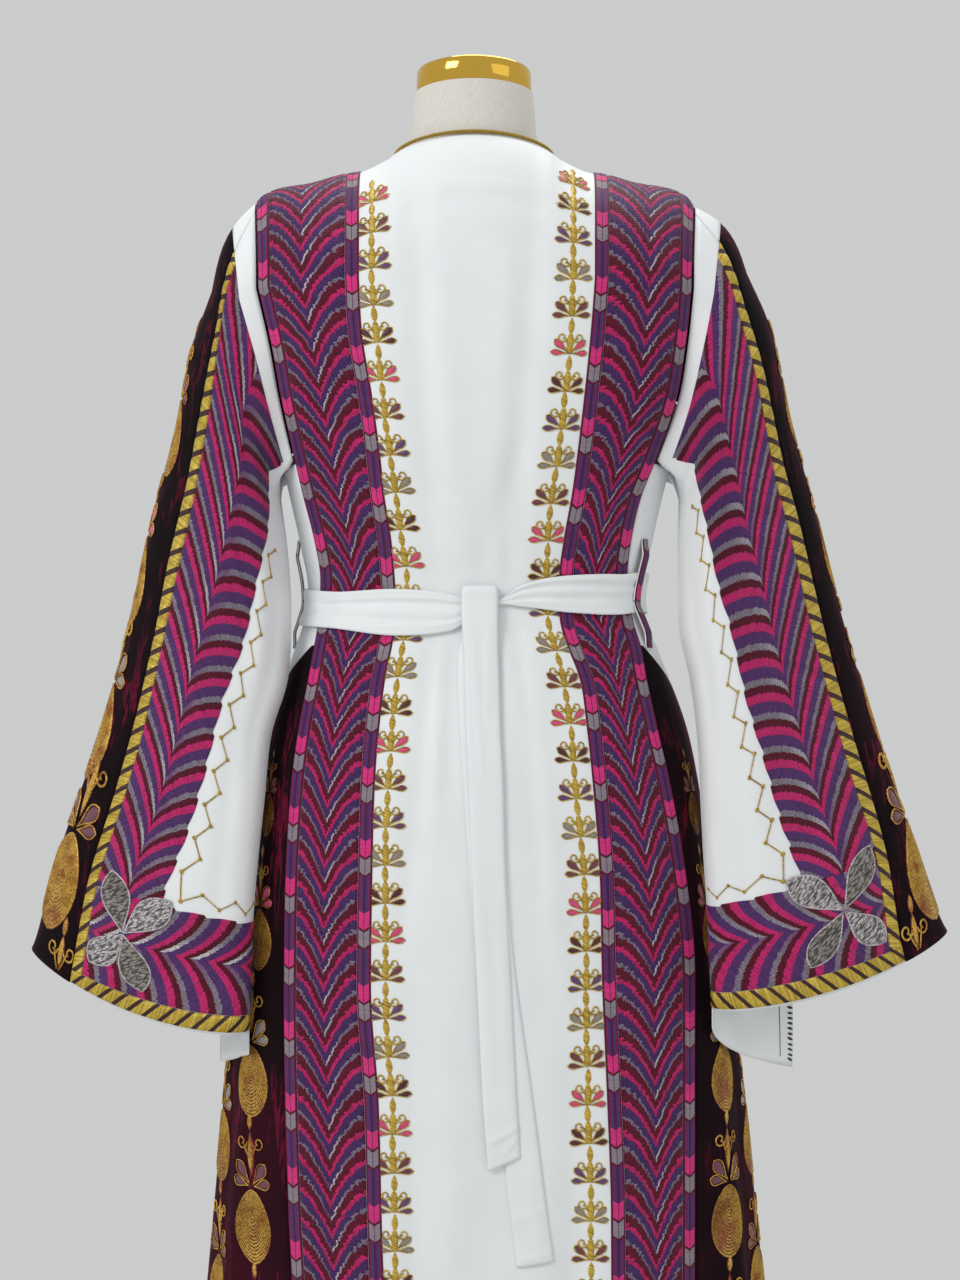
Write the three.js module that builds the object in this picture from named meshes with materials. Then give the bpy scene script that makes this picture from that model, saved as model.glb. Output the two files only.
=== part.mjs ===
// A long embroidered thobe on a limbless dress form, in millimetres, +Z up.
// The back of the dress faces -Y. The origin is the centre of the underside of the stand's base.
import * as THREE from "three";
import { mergeVertices } from "three/addons/utils/BufferGeometryUtils.js";

// ---- driving dimensions ----
const CREPE = 1.5; // wall of the white crepe
const VELVET = 2.0; // wall of the velvet
const APPLIED = 1.2; // wall of what is sewn on a panel
const BELT = 2.0; // wall of the belt, two layers of crepe
const SEAM = 0.2; // each piece stops this far from its seam line
const UNDER_SEAM = 0.6; // the same on the bent seams of the sleeve's velvet and under-sleeve
const LAID = 0.35; // gap under a piece laid on another
const SQUARENESS = 2.4; // 2 would make every section of the dress an ellipse

const YOKE_Z = 1340; // above this height the dress closes over the shoulders
const YOKE_RISE = 100; // rows above it run from YOKE_Z to YOKE_Z + YOKE_RISE
const YOKE_SPREAD = 1.035; // widening of a lengthwise line from the yoke to the shoulder seam
const NECK_WIDTH = 74; // half width of the neckline
const NECK_BACK = { depth: 62, rise: 6, steepness: 1.35 };
const NECK_FRONT = { depth: 70, rise: -32, steepness: 1.2 };
const ARMPIT_Z = 1180;
const HEM_Z = 30;
const SIDE_SEAM = 105; // degrees round from the centre back
const GORE_TOP_Z = 1015; // the velvet side gore starts as a point here
const SIDE_PANEL_Z = 940; // the white side panel runs out as a point here

const BORDER_INNER = 13; // width of the arrow border next to the white back
const BORDER_OUTER = 12; // width of the arrow border next to the side

const BELT_OFFSET = 2.4; // inner face of the belt over the panels
const LOOP = { width: 12, low: 1012, high: 1113, lifted: 5.2, sewn: 0.7, ramp: 16 };
const LOOP_TURNS = { left: -88, right: 67 }; // degrees round from the centre back
const LOOP_RADIUS = 110; // the waist's radius of curvature under the loops
const CORD = { radius: 2, lift: 2.9 }; // its middle lies this far over the neckline

const CAP = { radius: 54, bottom: 1532.3, top: 1555, round: 2 };
const POLE_RADIUS = 16;
const BASE = { radius: 160, height: 7 };

// ---- colours ----
const WHITE = 0xe9edf0;
const DARK_VELVET = 0x2a0f1c;
const FEATHER = 0x8a2f6b;
const ARROWS = 0x7a1f4f;
const GOLD = 0xc9a437;
const LINEN = 0xe8e4dc;
const BRASS = 0xcfa548;
const STEEL = 0xb9bcc0;

/** A table with named columns: rows are objects such as { z: 30, left: 280 }. */
function table(names, rows) {
  const keys = names.split(" ");
  return rows.map((row) => Object.fromEntries(keys.map((key, i) => [key, row[i]])));
}

/** The value of one column where the first column equals at, on straight lines between rows. */
function look(rows, column, at) {
  const key = Object.keys(rows[0])[0];
  const rising = rows[rows.length - 1][key] > rows[0][key];
  const list = rising ? rows : [...rows].reverse();
  const next = list.findIndex((row) => row[key] >= at);
  if (next === 0) return list[0][column];
  if (next < 0) return list[list.length - 1][column];
  const [a, b] = [list[next - 1], list[next]];
  return a[column] + ((b[column] - a[column]) * (at - a[key])) / (b[key] - a[key]);
}

// ---- tables ----
// Sections of the dress: half widths to the two sides, depths behind and before the pole.
const BODY = table("z left right back front", [
  [HEM_Z, 280, 302, 172, 172],
  [220, 262, 286, 158, 157],
  [420, 245, 266, 147, 143],
  [520, 237, 257, 141, 136],
  [620, 229, 247, 136, 130],
  [720, 218, 232, 131, 124],
  [820, 208, 219, 126, 118],
  [900, 199, 208, 119, 112],
  [SIDE_PANEL_Z, 191, 199, 113, 108],
  [985, 177, 183, 105, 103],
  [GORE_TOP_Z, 167, 171, 100, 100],
  [1035, 160, 163, 96, 99],
  [1055, 155, 157, 93, 98],
  [1075, 156, 159, 94, 100],
  [1110, 163, 167, 99, 107],
  [1150, 172, 176, 104, 114],
  [ARMPIT_Z, 179, 184, 107, 117],
  [1240, 196, 200, 110, 116],
  [1290, 208, 213, 112, 112],
  [YOKE_Z, 218, 224, 110, 104],
]);

// Lengthwise lines on the back: the edges of the two feather bands and, between them, the two
// soft folds that run from the corners of the neck to the hem.
const LINES = table("z leftOuter leftInner leftFold rightFold rightInner rightOuter", [
  [HEM_Z, -158, -80, -54, 78, 122, 196],
  [220, -158, -77, -54, 78, 120, 195],
  [420, -158, -76, -54, 76, 119, 195],
  [520, -163, -79, -54, 76, 119, 196],
  [620, -167, -82, -55, 75, 116, 197],
  [720, -169, -89, -57, 72, 112, 198],
  [820, -168, -88, -55, 70, 110, 189],
  [900, -163, -86, -52, 66, 104, 175],
  [SIDE_PANEL_Z, -158, -83, -48, 62, 100, 166],
  [985, -150, -78, -42, 53, 94, 157],
  [GORE_TOP_Z, -145, -72, -36, 46, 83, 152],
  [1035, -142, -69, -33, 43, 77, 146],
  [1055, -141, -69, -33, 41, 76, 143],
  [1075, -140, -70, -34, 42, 76, 140],
  [1110, -145, -73, -36, 45, 80, 143],
  [1150, -155, -79, -39, 48, 87, 152],
  [ARMPIT_Z, -162, -82, -42, 50, 91, 164],
  [1240, -175, -90, -55, 60, 98, 185],
  [1290, -184, -98, -66, 68, 103, 193],
  [YOKE_Z, -196, -101, -71.5, 71.5, 107, 198],
]);

// The front's columns, as shares of the way from the centre front to its edge; at the yoke the
// fourth one meets the corner of the neck.
const FRONT_COLUMNS = table("z a b c d e f g", [
  [985, 0, 0.16, 0.33, 0.5, 0.67, 0.84, 1],
  [YOKE_Z, 0, 0.085, 0.165, 0.247, 0.5, 0.75, 1],
]);

// The shoulder seam: its height at a distance from the centre.
const SHOULDER = table("x z", [
  [NECK_WIDTH, 1473],
  [105, 1458],
  [120, 1455.5],
  [150, 1447.5],
  [190, 1440],
  [200, 1434],
  [207, 1424],
  [216, 1411],
]);

// How much of the side between band and side seam the velvet gore has taken.
const GORE = table("z share", [
  [SIDE_PANEL_Z, 0.93],
  [985, 0.45],
  [GORE_TOP_Z, 0.06],
]);

// Soft folds of the skirt: place, half width, depth at the hem and the height where each starts.
const FOLDS = table("turn width depth start", [
  [-168, 9, 9, 900],
  [-143, 9, 12, 960],
  [-118, 8, 10, 880],
  [-97, 7, 12, 960],
  [-78, 7, 10, 900],
  [-60, 6, 9, 960],
  [61, 6, 9, 960],
  [80, 7, 10, 900],
  [99, 7, 12, 960],
  [119, 8, 10, 880],
  [143, 9, 12, 940],
  [168, 9, 9, 900],
]);

// Sections of the sleeves: the edge at the body, the outer edge, half thickness behind and before,
// how far the cloth sags between the edges, and the seams as shares of the way across the back:
// inner edge of the feather band, inner and outer edge of the gold trim.
const SLEEVE_COLUMNS = "row xIn yIn zIn xOut yOut zOut behind before sag band trimIn trimOut";
const SLEEVES = {
  left: table(SLEEVE_COLUMNS, [
    [1, 180, -22, 1150, 245, -4, 1349, 62, 60, 4, 0.11, 0.77, 0.815],
    [2, 171, -38, 1094, 264, -8, 1292, 58, 56, 6, 0.15, 0.72, 0.79],
    [3, 167, -50, 1038, 279, -12, 1212, 55, 52, 8, 0.23, 0.74, 0.81],
    [4, 169, -60, 984, 300, -15, 1132, 52, 46, 10, 0.27, 0.74, 0.81],
    [5, 183, -68, 934, 317, -18, 1050, 50, 42, 10, 0.3, 0.73, 0.795],
    [6, 188, -76, 878, 337, -20, 969, 48, 40, 8, 0.33, 0.73, 0.795],
    [7, 193, -82, 824, 359, -22, 899, 46, 40, 4, 0.36, 0.73, 0.79],
    [8, 197, -86, 769, 388, -24, 814, 45, 36, 1, 0.41, 0.735, 0.785],
    [8.85, 199.5, -89, 687, 407, -25, 742, 44, 34, 9, 0.46, 0.732, 0.78],
    [9, 200, -90, 671, 410, -25, 735, 44, 34, 13, 0.47, 0.73, 0.777],
  ]),
  right: table(SLEEVE_COLUMNS, [
    [1, 191, -22, 1150, 255, -4, 1366, 62, 60, 4, 0.14, 0.78, 0.85],
    [2, 188, -38, 1094, 278, -8, 1310, 58, 56, 6, 0.2, 0.76, 0.83],
    [3, 187, -50, 1038, 295, -12, 1226, 55, 52, 8, 0.26, 0.77, 0.85],
    [4, 196, -62, 984, 313, -15, 1160, 52, 46, 10, 0.28, 0.77, 0.85],
    [5, 202, -70, 929, 330, -18, 1090, 50, 42, 10, 0.3, 0.77, 0.85],
    [6, 204, -76, 876, 350, -20, 1015, 48, 40, 8, 0.35, 0.78, 0.85],
    [7, 206, -82, 824, 378, -22, 922, 46, 40, 4, 0.38, 0.78, 0.85],
    [8, 208, -87, 784, 407, -24, 836, 45, 34, 1, 0.41, 0.775, 0.83],
    [8.85, 211.5, -92, 708, 434, -25, 760, 44, 30, 6, 0.46, 0.725, 0.78],
    [9, 212, -93, 692, 439, -25, 751, 44, 30, 11, 0.47, 0.72, 0.777],
  ]),
};
const UNDER_SLEEVE = { left: 0.15, right: 0.36 }; // share of the sleeve's front that is under-sleeve
const SEAM_AT_ARMHOLE = { band: 0.07, trimIn: 0.93, trimOut: 0.965 }; // shares across the back
const UNDERARM = 0.16; // share of each half of the armhole that runs along the top of the side panel
const ARMHOLE_GAP = 2; // from the dress to the sleeve along the back half of the armhole
const FRONT_ARMHOLE_GAP = 3;
const SLEEVE_CAP = { out: 7, up: 8 }; // how far the head of the sleeve rounds out past the shoulder
const CUFF_ROW = 8;
const HEM_TRIM_ROW = 8.85;
const HEM_ROW = 9;

// The white under-sleeve hangs below the sleeve's hem: drop at shares of its width, from the body.
const FLAP = {
  left: table("share drop", [
    [0, 20],
    [0.5, 26],
    [1, 38],
  ]),
  right: table("share drop", [
    [0, 14],
    [0.5, 45],
    [1, 76],
  ]),
};

// The belt round the waist: height of its middle and its width, by degrees from the centre back.
const BELT_ROUTE = table("turn middle width", [
  [-180, 1057, 35],
  [-90, 1051, 35],
  [-50, 1047, 34],
  [-5, 1044, 33],
  [5, 1053, 5],
  [12, 1059, 20],
  [22, 1061, 31],
  [50, 1061, 38],
  [70, 1064, 38],
  [90, 1062, 37],
  [180, 1057, 35],
]);

// The two ends of the belt hanging from the knot: left and right edge and distance off the skirt.
const TAIL_FRONT = table("z left right off", [
  [1025.6, -10, 21, 6.5],
  [GORE_TOP_Z, -9.5, 22, 5.6],
  [985, -8.5, 23, 4.4],
  [SIDE_PANEL_Z, -7, 24, 3.6],
  [900, -5, 26, 3.6],
  [820, -2, 28, 3.6],
  [720, 3, 33, 3.6],
  [620, 8, 38, 3.6],
  [564, 12, 41, 3.6],
]);
const TAIL_BACK = table("z left right off", [
  [1025.6, -8, 18, 2.2],
  [GORE_TOP_Z, -13, 16, 0.8],
  [985, -15, 15, 0.8],
  [SIDE_PANEL_Z, -13, 17, 0.8],
  [900, -10, 21, 0.8],
  [820, -4, 27, 0.8],
  [720, 7, 38, 0.8],
  [620, 20, 52, 0.8],
  [520, 32, 65, 0.8],
  [481, 37, 71, 0.8],
]);
// The knot is a turn of the belt over its two halves, which end under it.
const KNOT = { left: -11, right: 22, top: 1066, bottom: 1026, off: 5, swell: 2.5, wall: 3.2, cover: 7 };

// Sections of the torso under the dress, each an ellipse.
const TORSO = table("z half back front", [
  [800, 120, 72, 70],
  [806, 150, 92, 88],
  [830, 168, 104, 98],
  [880, 172, 105, 99],
  [940, 164, 97, 93],
  [985, 150, 88, 88],
  [1035, 133, 79, 84],
  [1075, 130, 79, 86],
  [1110, 136, 84, 92],
  [1150, 146, 90, 99],
  [ARMPIT_Z, 154, 94, 103],
  [1240, 166, 98, 102],
  [1290, 176, 99, 96],
  [YOKE_Z, 186, 95, 88],
  [1370, 190, 85, 78],
  [1395, 191, 70, 64],
  [1415, 189, 55, 52],
  [1430, 183, 42, 42],
  [1438, 172, 38, 39],
  [1444, 150, 39, 42],
  [1450, 122, 42, 40],
  [1456, 95, 46, 42],
  [1462, 76, 51, 44],
  [1470, 66, 56, 49],
  [1482, 61, 58.5, 55],
  [1500, 58.5, 58.5, 58],
  [1532, 56, 56, 56],
]);

// ---- the surface of the dress ----
const rad = THREE.MathUtils.degToRad;
const clamp = THREE.MathUtils.clamp;
const side = (turn) => (turn < 0 ? "left" : "right");

/** Degrees round from the centre back at which the back surface has this x. */
function turnOf(x, z) {
  const share = clamp(Math.abs(x) / look(BODY, x < 0 ? "left" : "right", z), 0, 1);
  return Math.sign(x) * THREE.MathUtils.radToDeg(Math.asin(share ** (SQUARENESS / 2)));
}

/** How far the skirt's folds push its surface out. */
function foldDepth(turn, z) {
  return FOLDS.reduce((sum, fold) => {
    const grown = clamp((fold.start - z) / (fold.start - HEM_Z), 0, 1);
    return sum + fold.depth * grown * Math.exp(-(((turn - fold.turn) / fold.width) ** 2));
  }, 0);
}

/** A point of the dress below the yoke. */
function lowPoint(turn, z) {
  const t = rad(Math.abs(turn));
  const half = look(BODY, side(turn), z);
  const depth = Math.cos(t) > 0 ? -look(BODY, "back", z) : look(BODY, "front", z);
  const bend = 2 / SQUARENESS;
  const p = new THREE.Vector3(
    (turn < 0 ? -1 : 1) * half * Math.abs(Math.sin(t)) ** bend,
    depth * Math.abs(Math.cos(t)) ** bend,
    z,
  );
  const out = new THREE.Vector3(p.x, p.y, 0).normalize();
  return p.addScaledVector(out, foldDepth(turn, z));
}

/** The point of the neckline or shoulder seam that a lengthwise line runs to. */
function topPoint(x, isFront) {
  if (Math.abs(x) >= NECK_WIDTH) return new THREE.Vector3(x, 0, look(SHOULDER, "z", Math.abs(x)));
  const neck = isFront ? NECK_FRONT : NECK_BACK;
  const round = Math.sqrt(1 - (x / NECK_WIDTH) ** 2);
  const z = SHOULDER[0].z + neck.rise * round ** 2;
  return new THREE.Vector3(x, (isFront ? 1 : -1) * neck.depth * round, z);
}

/** A point of the dress at turn degrees round and row height v; above YOKE_Z rows bend inwards. */
function bodyPoint(anyTurn, v) {
  const turn = anyTurn > 180 ? anyTurn - 360 : anyTurn < -180 ? anyTurn + 360 : anyTurn;
  if (v <= YOKE_Z) return lowPoint(turn, v);
  const isFront = Math.abs(turn) > 90;
  const foot = lowPoint(turn, YOKE_Z);
  const top = topPoint(foot.x * YOKE_SPREAD, isFront);
  const s = rad(((v - YOKE_Z) / YOKE_RISE) * 90);
  const atNeck = Math.abs(top.x) < NECK_WIDTH;
  const steep = atNeck ? (isFront ? NECK_FRONT : NECK_BACK).steepness : 1;
  const down = 1 - Math.sin(s);
  return new THREE.Vector3(
    THREE.MathUtils.lerp(foot.x, top.x, Math.sin(s) ** 2),
    THREE.MathUtils.lerp(top.y, foot.y, Math.cos(s) ** steep),
    top.z - (top.z - foot.z) * down,
  );
}

const ROWS = BODY.map((row) => row.z);
const YOKE_ROWS = [14, 30, 48, 68, 90].map((s) => YOKE_Z + (YOKE_RISE * s) / 90);

/** The outward normal of a surface, a function of how far round and how far up or down. */
function normalOf(surface, round, height, stepRound, below, above) {
  const right = surface(round + stepRound, height).sub(surface(round - stepRound, height));
  const up = surface(round, above).sub(surface(round, below));
  return right.cross(up).normalize();
}

/** The outward normal of the dress; along the shoulder seam it points straight up. */
function bodyNormal(turn, v) {
  const top = YOKE_Z + YOKE_RISE;
  const normal = normalOf(bodyPoint, turn, v, 1, Math.max(v - 4, HEM_Z), Math.min(v + 4, top));
  const onShoulder = v === top && Math.abs(bodyPoint(turn, v).x) > NECK_WIDTH - 1;
  return onShoulder ? normal.setY(0).normalize() : normal;
}

/** Points and normals of the dress for rows of turns, each row at its own height. */
function bodyGrid(rows, turnsAt) {
  const turns = rows.map(turnsAt);
  return {
    points: rows.map((v, i) => turns[i].map((turn) => bodyPoint(turn, v))),
    normals: rows.map((v, i) => turns[i].map((turn) => bodyNormal(turn, v))),
  };
}

/** A part of a grid, from one row and column to another. */
function cutOf(grid, [firstRow, lastRow], [first, last]) {
  const cut = (list) => list.slice(firstRow, lastRow + 1).map((row) => row.slice(first, last + 1));
  return { points: cut(grid.points).map((row) => row.map((p) => p.clone())), normals: cut(grid.normals) };
}

/** A grid moved along its normals. */
function moved(grid, normals, distance) {
  const step = typeof distance === "number" ? () => distance : distance;
  return grid.map((row, i) => row.map((p, j) => p.clone().addScaledVector(normals[i][j], step(i, j))));
}

/** The closed mesh between an outer and an inner grid; faces point out. */
function wallBetween(outer, inner) {
  const rows = outer.length;
  const columns = outer[0].length;
  const points = [...outer.flat(), ...inner.flat()];
  const at = (layer, i, j) => layer * rows * columns + i * columns + j;
  const faces = [];
  const quad = (a, b, c, d) => faces.push(a, b, c, a, c, d);
  for (let i = 0; i < rows - 1; i++) {
    for (let j = 0; j < columns - 1; j++) {
      quad(at(0, i, j), at(0, i, j + 1), at(0, i + 1, j + 1), at(0, i + 1, j));
      quad(at(1, i, j), at(1, i + 1, j), at(1, i + 1, j + 1), at(1, i, j + 1));
    }
    const end = columns - 1;
    quad(at(1, i, 0), at(0, i, 0), at(0, i + 1, 0), at(1, i + 1, 0));
    quad(at(0, i, end), at(1, i, end), at(1, i + 1, end), at(0, i + 1, end));
  }
  for (let j = 0; j < columns - 1; j++) {
    const top = rows - 1;
    quad(at(1, 0, j), at(1, 0, j + 1), at(0, 0, j + 1), at(0, 0, j));
    quad(at(0, top, j), at(0, top, j + 1), at(1, top, j + 1), at(1, top, j));
  }
  const geometry = new THREE.BufferGeometry();
  geometry.setAttribute("position", new THREE.Float32BufferAttribute(points.flatMap((p) => p.toArray()), 3));
  geometry.setIndex(faces);
  return geometry;
}

/** A cloth wall whose outer face is the grid, or the grid moved out by off. */
function cloth({ points, normals }, thickness, off = 0) {
  const lift = typeof off === "number" ? () => off : off;
  return wallBetween(
    moved(points, normals, lift),
    moved(points, normals, (i, j) => lift(i, j) - thickness),
  );
}

const part = new THREE.Group();

/** Adds a named mesh with its own finish. */
function add(name, geometry, color, roughness, metalness = 0) {
  geometry.computeVertexNormals();
  const mesh = new THREE.Mesh(
    geometry,
    new THREE.MeshStandardMaterial({ color, roughness, metalness }),
  );
  mesh.name = name;
  part.add(mesh);
}

// ---- the form ----
/** A closed shape through the torso's ellipses. */
function torsoGeometry() {
  const around = 36; // points in each ellipse
  const points = [];
  TORSO.forEach(({ z, half, back, front }) => {
    for (let k = 0; k < around; k++) {
      const angle = (2 * Math.PI * k) / around;
      const depth = Math.sin(angle) < 0 ? back : front;
      points.push(half * Math.cos(angle), depth * Math.sin(angle), z);
    }
  });
  const faces = [];
  const rows = TORSO.length;
  for (let i = 0; i < rows - 1; i++) {
    for (let k = 0; k < around; k++) {
      const next = (k + 1) % around;
      const [row, above] = [i * around, (i + 1) * around];
      const [a, b, c, d] = [row + k, row + next, above + next, above + k];
      faces.push(a, b, c, a, c, d);
    }
  }
  for (let k = 1; k < around - 1; k++) {
    faces.push(0, k + 1, k);
    const top = (rows - 1) * around;
    faces.push(top, top + k, top + k + 1);
  }
  const geometry = new THREE.BufferGeometry();
  geometry.setAttribute("position", new THREE.Float32BufferAttribute(points, 3));
  geometry.setIndex(faces);
  return geometry;
}

/** A solid turned about the pole's axis from a profile of [radius, height] points. */
function turned(profile, segments) {
  const geometry = new THREE.LatheGeometry(profile.map(([r, z]) => new THREE.Vector2(r, z)), segments);
  geometry.rotateX(Math.PI / 2);
  geometry.deleteAttribute("uv");
  geometry.deleteAttribute("normal");
  return mergeVertices(geometry, 1e-3);
}

function addForm() {
  add("form_torso", torsoGeometry(), LINEN, 0.9);
  const { radius, bottom, top, round } = CAP;
  const cap = [[0, bottom], [radius, bottom], [radius, top - round], [radius - round, top], [0, top]];
  add("form_neck_cap", turned(cap, 48), BRASS, 0.2, 1);
  const [foot, head] = [BASE.height + LAID, TORSO[0].z - LAID];
  const pole = [[0, foot], [POLE_RADIUS, foot], [POLE_RADIUS, head], [0, head]];
  add("form_pole", turned(pole, 24), STEEL, 0.25, 1);
  const rim = BASE.height / 2;
  const flat = BASE.radius - rim;
  const base = [[0, 0], [BASE.radius, 0], [BASE.radius, rim], [flat, BASE.height], [0, BASE.height]];
  add("form_base", turned(base, 64), STEEL, 0.3, 1);
}

// ---- back, bands and borders ----
const line = (name, v) => look(LINES, name, Math.min(v, YOKE_Z));

const NECK_SHARES = [0.45, 0.8]; // columns that keep the neckline round, as shares of each fold's x

/** The x of the back's columns from the left band's outer edge to the right band's. */
function backColumns(v) {
  const [lo, li, lf] = ["leftOuter", "leftInner", "leftFold"].map((name) => line(name, v));
  const [ro, ri, rf] = ["rightOuter", "rightInner", "rightFold"].map((name) => line(name, v));
  const left = [lo, lo + BORDER_OUTER, (lo + BORDER_OUTER + li - BORDER_INNER) / 2, li - BORDER_INNER, li];
  const right = [ri, ri + BORDER_INNER, (ri + BORDER_INNER + ro - BORDER_OUTER) / 2, ro - BORDER_OUTER, ro];
  const between = NECK_SHARES.map((share) => share * lf).reverse();
  return [...left, lf, ...between, 0, ...NECK_SHARES.map((share) => share * rf), rf, ...right];
}
const COLUMN = {
  leftOuter: 0,
  leftBand: [1, 3],
  leftInner: 4,
  rightInner: 12,
  rightBand: [13, 15],
  rightOuter: 16,
};

/** Draws the first and last columns of a grid in towards the middle. */
function drawnIn({ points, normals }, distance) {
  points.forEach((row) => {
    const n = row.length - 1;
    const [first, last] = [row[1].clone().sub(row[0]), row[n - 1].clone().sub(row[n])];
    row[0].addScaledVector(first.normalize(), distance);
    row[n].addScaledVector(last.normalize(), distance);
  });
  return { points, normals };
}

/** Keeps a grid that ends on the shoulder seam clear of the piece on the other side of it. */
function clearOfShoulder(grid, direction) {
  grid.points[grid.points.length - 1].forEach((p) => {
    if (Math.abs(p.x) > NECK_WIDTH - 1) p.y += direction * SEAM;
  });
  return grid;
}

const ALL_ROWS = [...ROWS, ...YOKE_ROWS];

function addBack() {
  const turns = (v) => backColumns(v).map((x) => turnOf(x, Math.min(v, YOKE_Z)));
  const grid = clearOfShoulder(drawnIn(bodyGrid(ALL_ROWS, turns), SEAM), -1);
  add("back_panel", cloth(grid, CREPE), WHITE, 0.6);
  const strip = (name, first, last, color) => {
    const piece = drawnIn(cutOf(grid, [0, ALL_ROWS.length - 1], [first, last]), SEAM);
    add(name, cloth(piece, APPLIED, LAID + APPLIED), color, 0.5);
  };
  const [lb, rb] = [COLUMN.leftBand, COLUMN.rightBand];
  strip("band_left", ...lb, FEATHER);
  strip("band_right", ...rb, FEATHER);
  strip("border_left_outer", COLUMN.leftOuter, lb[0], ARROWS);
  strip("border_left_inner", lb[1], COLUMN.leftInner, ARROWS);
  strip("border_right_inner", COLUMN.rightInner, rb[0], ARROWS);
  strip("border_right_outer", rb[1], COLUMN.rightOuter, ARROWS);
}

// ---- side panels, gores and front ----
const bandTurn = (sign, z) => Math.abs(turnOf(line(sign < 0 ? "leftOuter" : "rightOuter", z), z));

/** Degrees round of the seam between the velvet gore and the white side panel. */
function goreEdge(sign, z) {
  if (z < SIDE_PANEL_Z) return SIDE_SEAM;
  return THREE.MathUtils.lerp(bandTurn(sign, z), SIDE_SEAM, look(GORE, "share", z));
}

/** A grid between two lines of turns on one side, its columns running so that the faces point out. */
function sideGrid(sign, rows, columns, from, to) {
  const turnsAt = (z) => {
    const turns = Array.from({ length: columns + 1 }, (_, k) =>
      sign * THREE.MathUtils.lerp(from(sign, z), to(sign, z), k / columns),
    );
    return sign < 0 ? turns.reverse() : turns;
  };
  return drawnIn(bodyGrid(rows, turnsAt), SEAM);
}

function addSides() {
  const seam = () => SIDE_SEAM;
  const panelRows = ROWS.filter((z) => z >= SIDE_PANEL_Z && z <= ARMPIT_Z);
  const goreRows = ROWS.filter((z) => z <= GORE_TOP_Z);
  const panelEdge = (sign, z) => (z <= GORE_TOP_Z ? goreEdge(sign, z) : bandTurn(sign, z));
  const [panelColumns, goreColumns] = [4, 9];
  for (const [sign, name] of [[-1, "left"], [1, "right"]]) {
    const panel = sideGrid(sign, panelRows, panelColumns, panelEdge, seam);
    add("side_panel_" + name, cloth(panel, CREPE), WHITE, 0.6);
    const gore = sideGrid(sign, goreRows, goreColumns, bandTurn, goreEdge);
    add("gore_" + name, cloth(gore, VELVET), DARK_VELVET, 0.85);
  }
}

/** Degrees round at which the front meets the side seam or, above the armpit, the armhole. */
function frontEdge(sign, v) {
  return v <= ARMPIT_Z ? SIDE_SEAM : 180 - bandTurn(sign, Math.min(v, YOKE_Z));
}

function addFront() {
  const turnsAt = (v) => {
    const shares = ["a", "b", "c", "d", "e", "f", "g"].map((name) => look(FRONT_COLUMNS, name, v));
    const right = shares.map((share) => 180 - share * (180 - frontEdge(1, v))).reverse();
    const left = shares.slice(1).map((share) => share * (180 - frontEdge(-1, v)) - 180);
    return [...right, ...left];
  };
  const grid = clearOfShoulder(drawnIn(bodyGrid(ALL_ROWS, turnsAt), SEAM), 1);
  add("front_panel", cloth(grid, VELVET), DARK_VELVET, 0.85);
}

// ---- sleeves ----
/** A point of the armhole: up the back (share 0 to 0.5), down the front (0.5 to 1), clear of the dress. */
function armholePoint(sign, u) {
  const up = (u <= 0.5 ? u : 1 - u) / 0.5;
  const isFront = u > 0.5;
  if (up < UNDERARM) {
    const corner = isFront ? SIDE_SEAM : bandTurn(sign, ARMPIT_Z);
    const p = lowPoint(sign * THREE.MathUtils.lerp(90, corner, up / UNDERARM), ARMPIT_Z);
    p.x += sign * ARMHOLE_GAP;
    p.z += ARMHOLE_GAP;
    return p;
  }
  const share = (up - UNDERARM) / (1 - UNDERARM);
  const v = ARMPIT_Z + (YOKE_Z + YOKE_RISE - ARMPIT_Z) * share;
  const turn = isFront ? frontEdge(sign, v) : bandTurn(sign, Math.min(v, YOKE_Z));
  const p = bodyPoint(sign * turn, v);
  p.x += sign * (isFront ? FRONT_ARMHOLE_GAP : ARMHOLE_GAP);
  return p;
}

/** A point of the sleeve: u runs from the body edge over the back (0 to 0.5) and home over the front. */
function sleevePoint(name, anyU, row) {
  const u = anyU - Math.floor(anyU);
  const sign = name === "left" ? -1 : 1;
  const at = (column) => look(SLEEVES[name], column, Math.max(row, 1));
  const angle = 2 * Math.PI * u;
  const across = (1 - Math.cos(angle)) / 2;
  const swell = Math.sin(angle);
  const p = new THREE.Vector3(
    sign * THREE.MathUtils.lerp(at("xIn"), at("xOut"), across),
    THREE.MathUtils.lerp(at("yIn"), at("yOut"), across) - swell * at(swell > 0 ? "behind" : "before"),
    THREE.MathUtils.lerp(at("zIn"), at("zOut"), across) - at("sag") * swell ** 2,
  );
  if (row >= 1) return p;
  const cap = Math.sin(Math.PI * row) * across ** 2;
  p.lerp(armholePoint(sign, u), 1 - row);
  return p.add(new THREE.Vector3(sign * SLEEVE_CAP.out * cap, 0, SLEEVE_CAP.up * cap));
}

/** Points and normals of a sleeve, rows from the hem up, columns so that the faces point out. */
function sleeveGrid(name, rows, columnsAt) {
  const direction = name === "left" ? -1 : 1;
  const surface = (u, row) => sleevePoint(name, direction * u, row);
  const normalAt = (u, row) => {
    const [below, above] = [Math.min(row + 0.2, HEM_ROW), Math.max(row - 0.2, 0)];
    return normalOf(surface, direction * u, row, 0.01, below, above);
  };
  const list = [...rows].reverse();
  const turns = list.map((row) => (name === "left" ? [...columnsAt(row)].reverse() : columnsAt(row)));
  return {
    points: list.map((row, i) => turns[i].map((u) => sleevePoint(name, u, row))),
    normals: list.map((row, i) => turns[i].map((u) => normalAt(u, row))),
  };
}

/** The u of a share of the way across the back of the sleeve. */
const acrossU = (share) => Math.acos(1 - 2 * share) / (2 * Math.PI);

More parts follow.
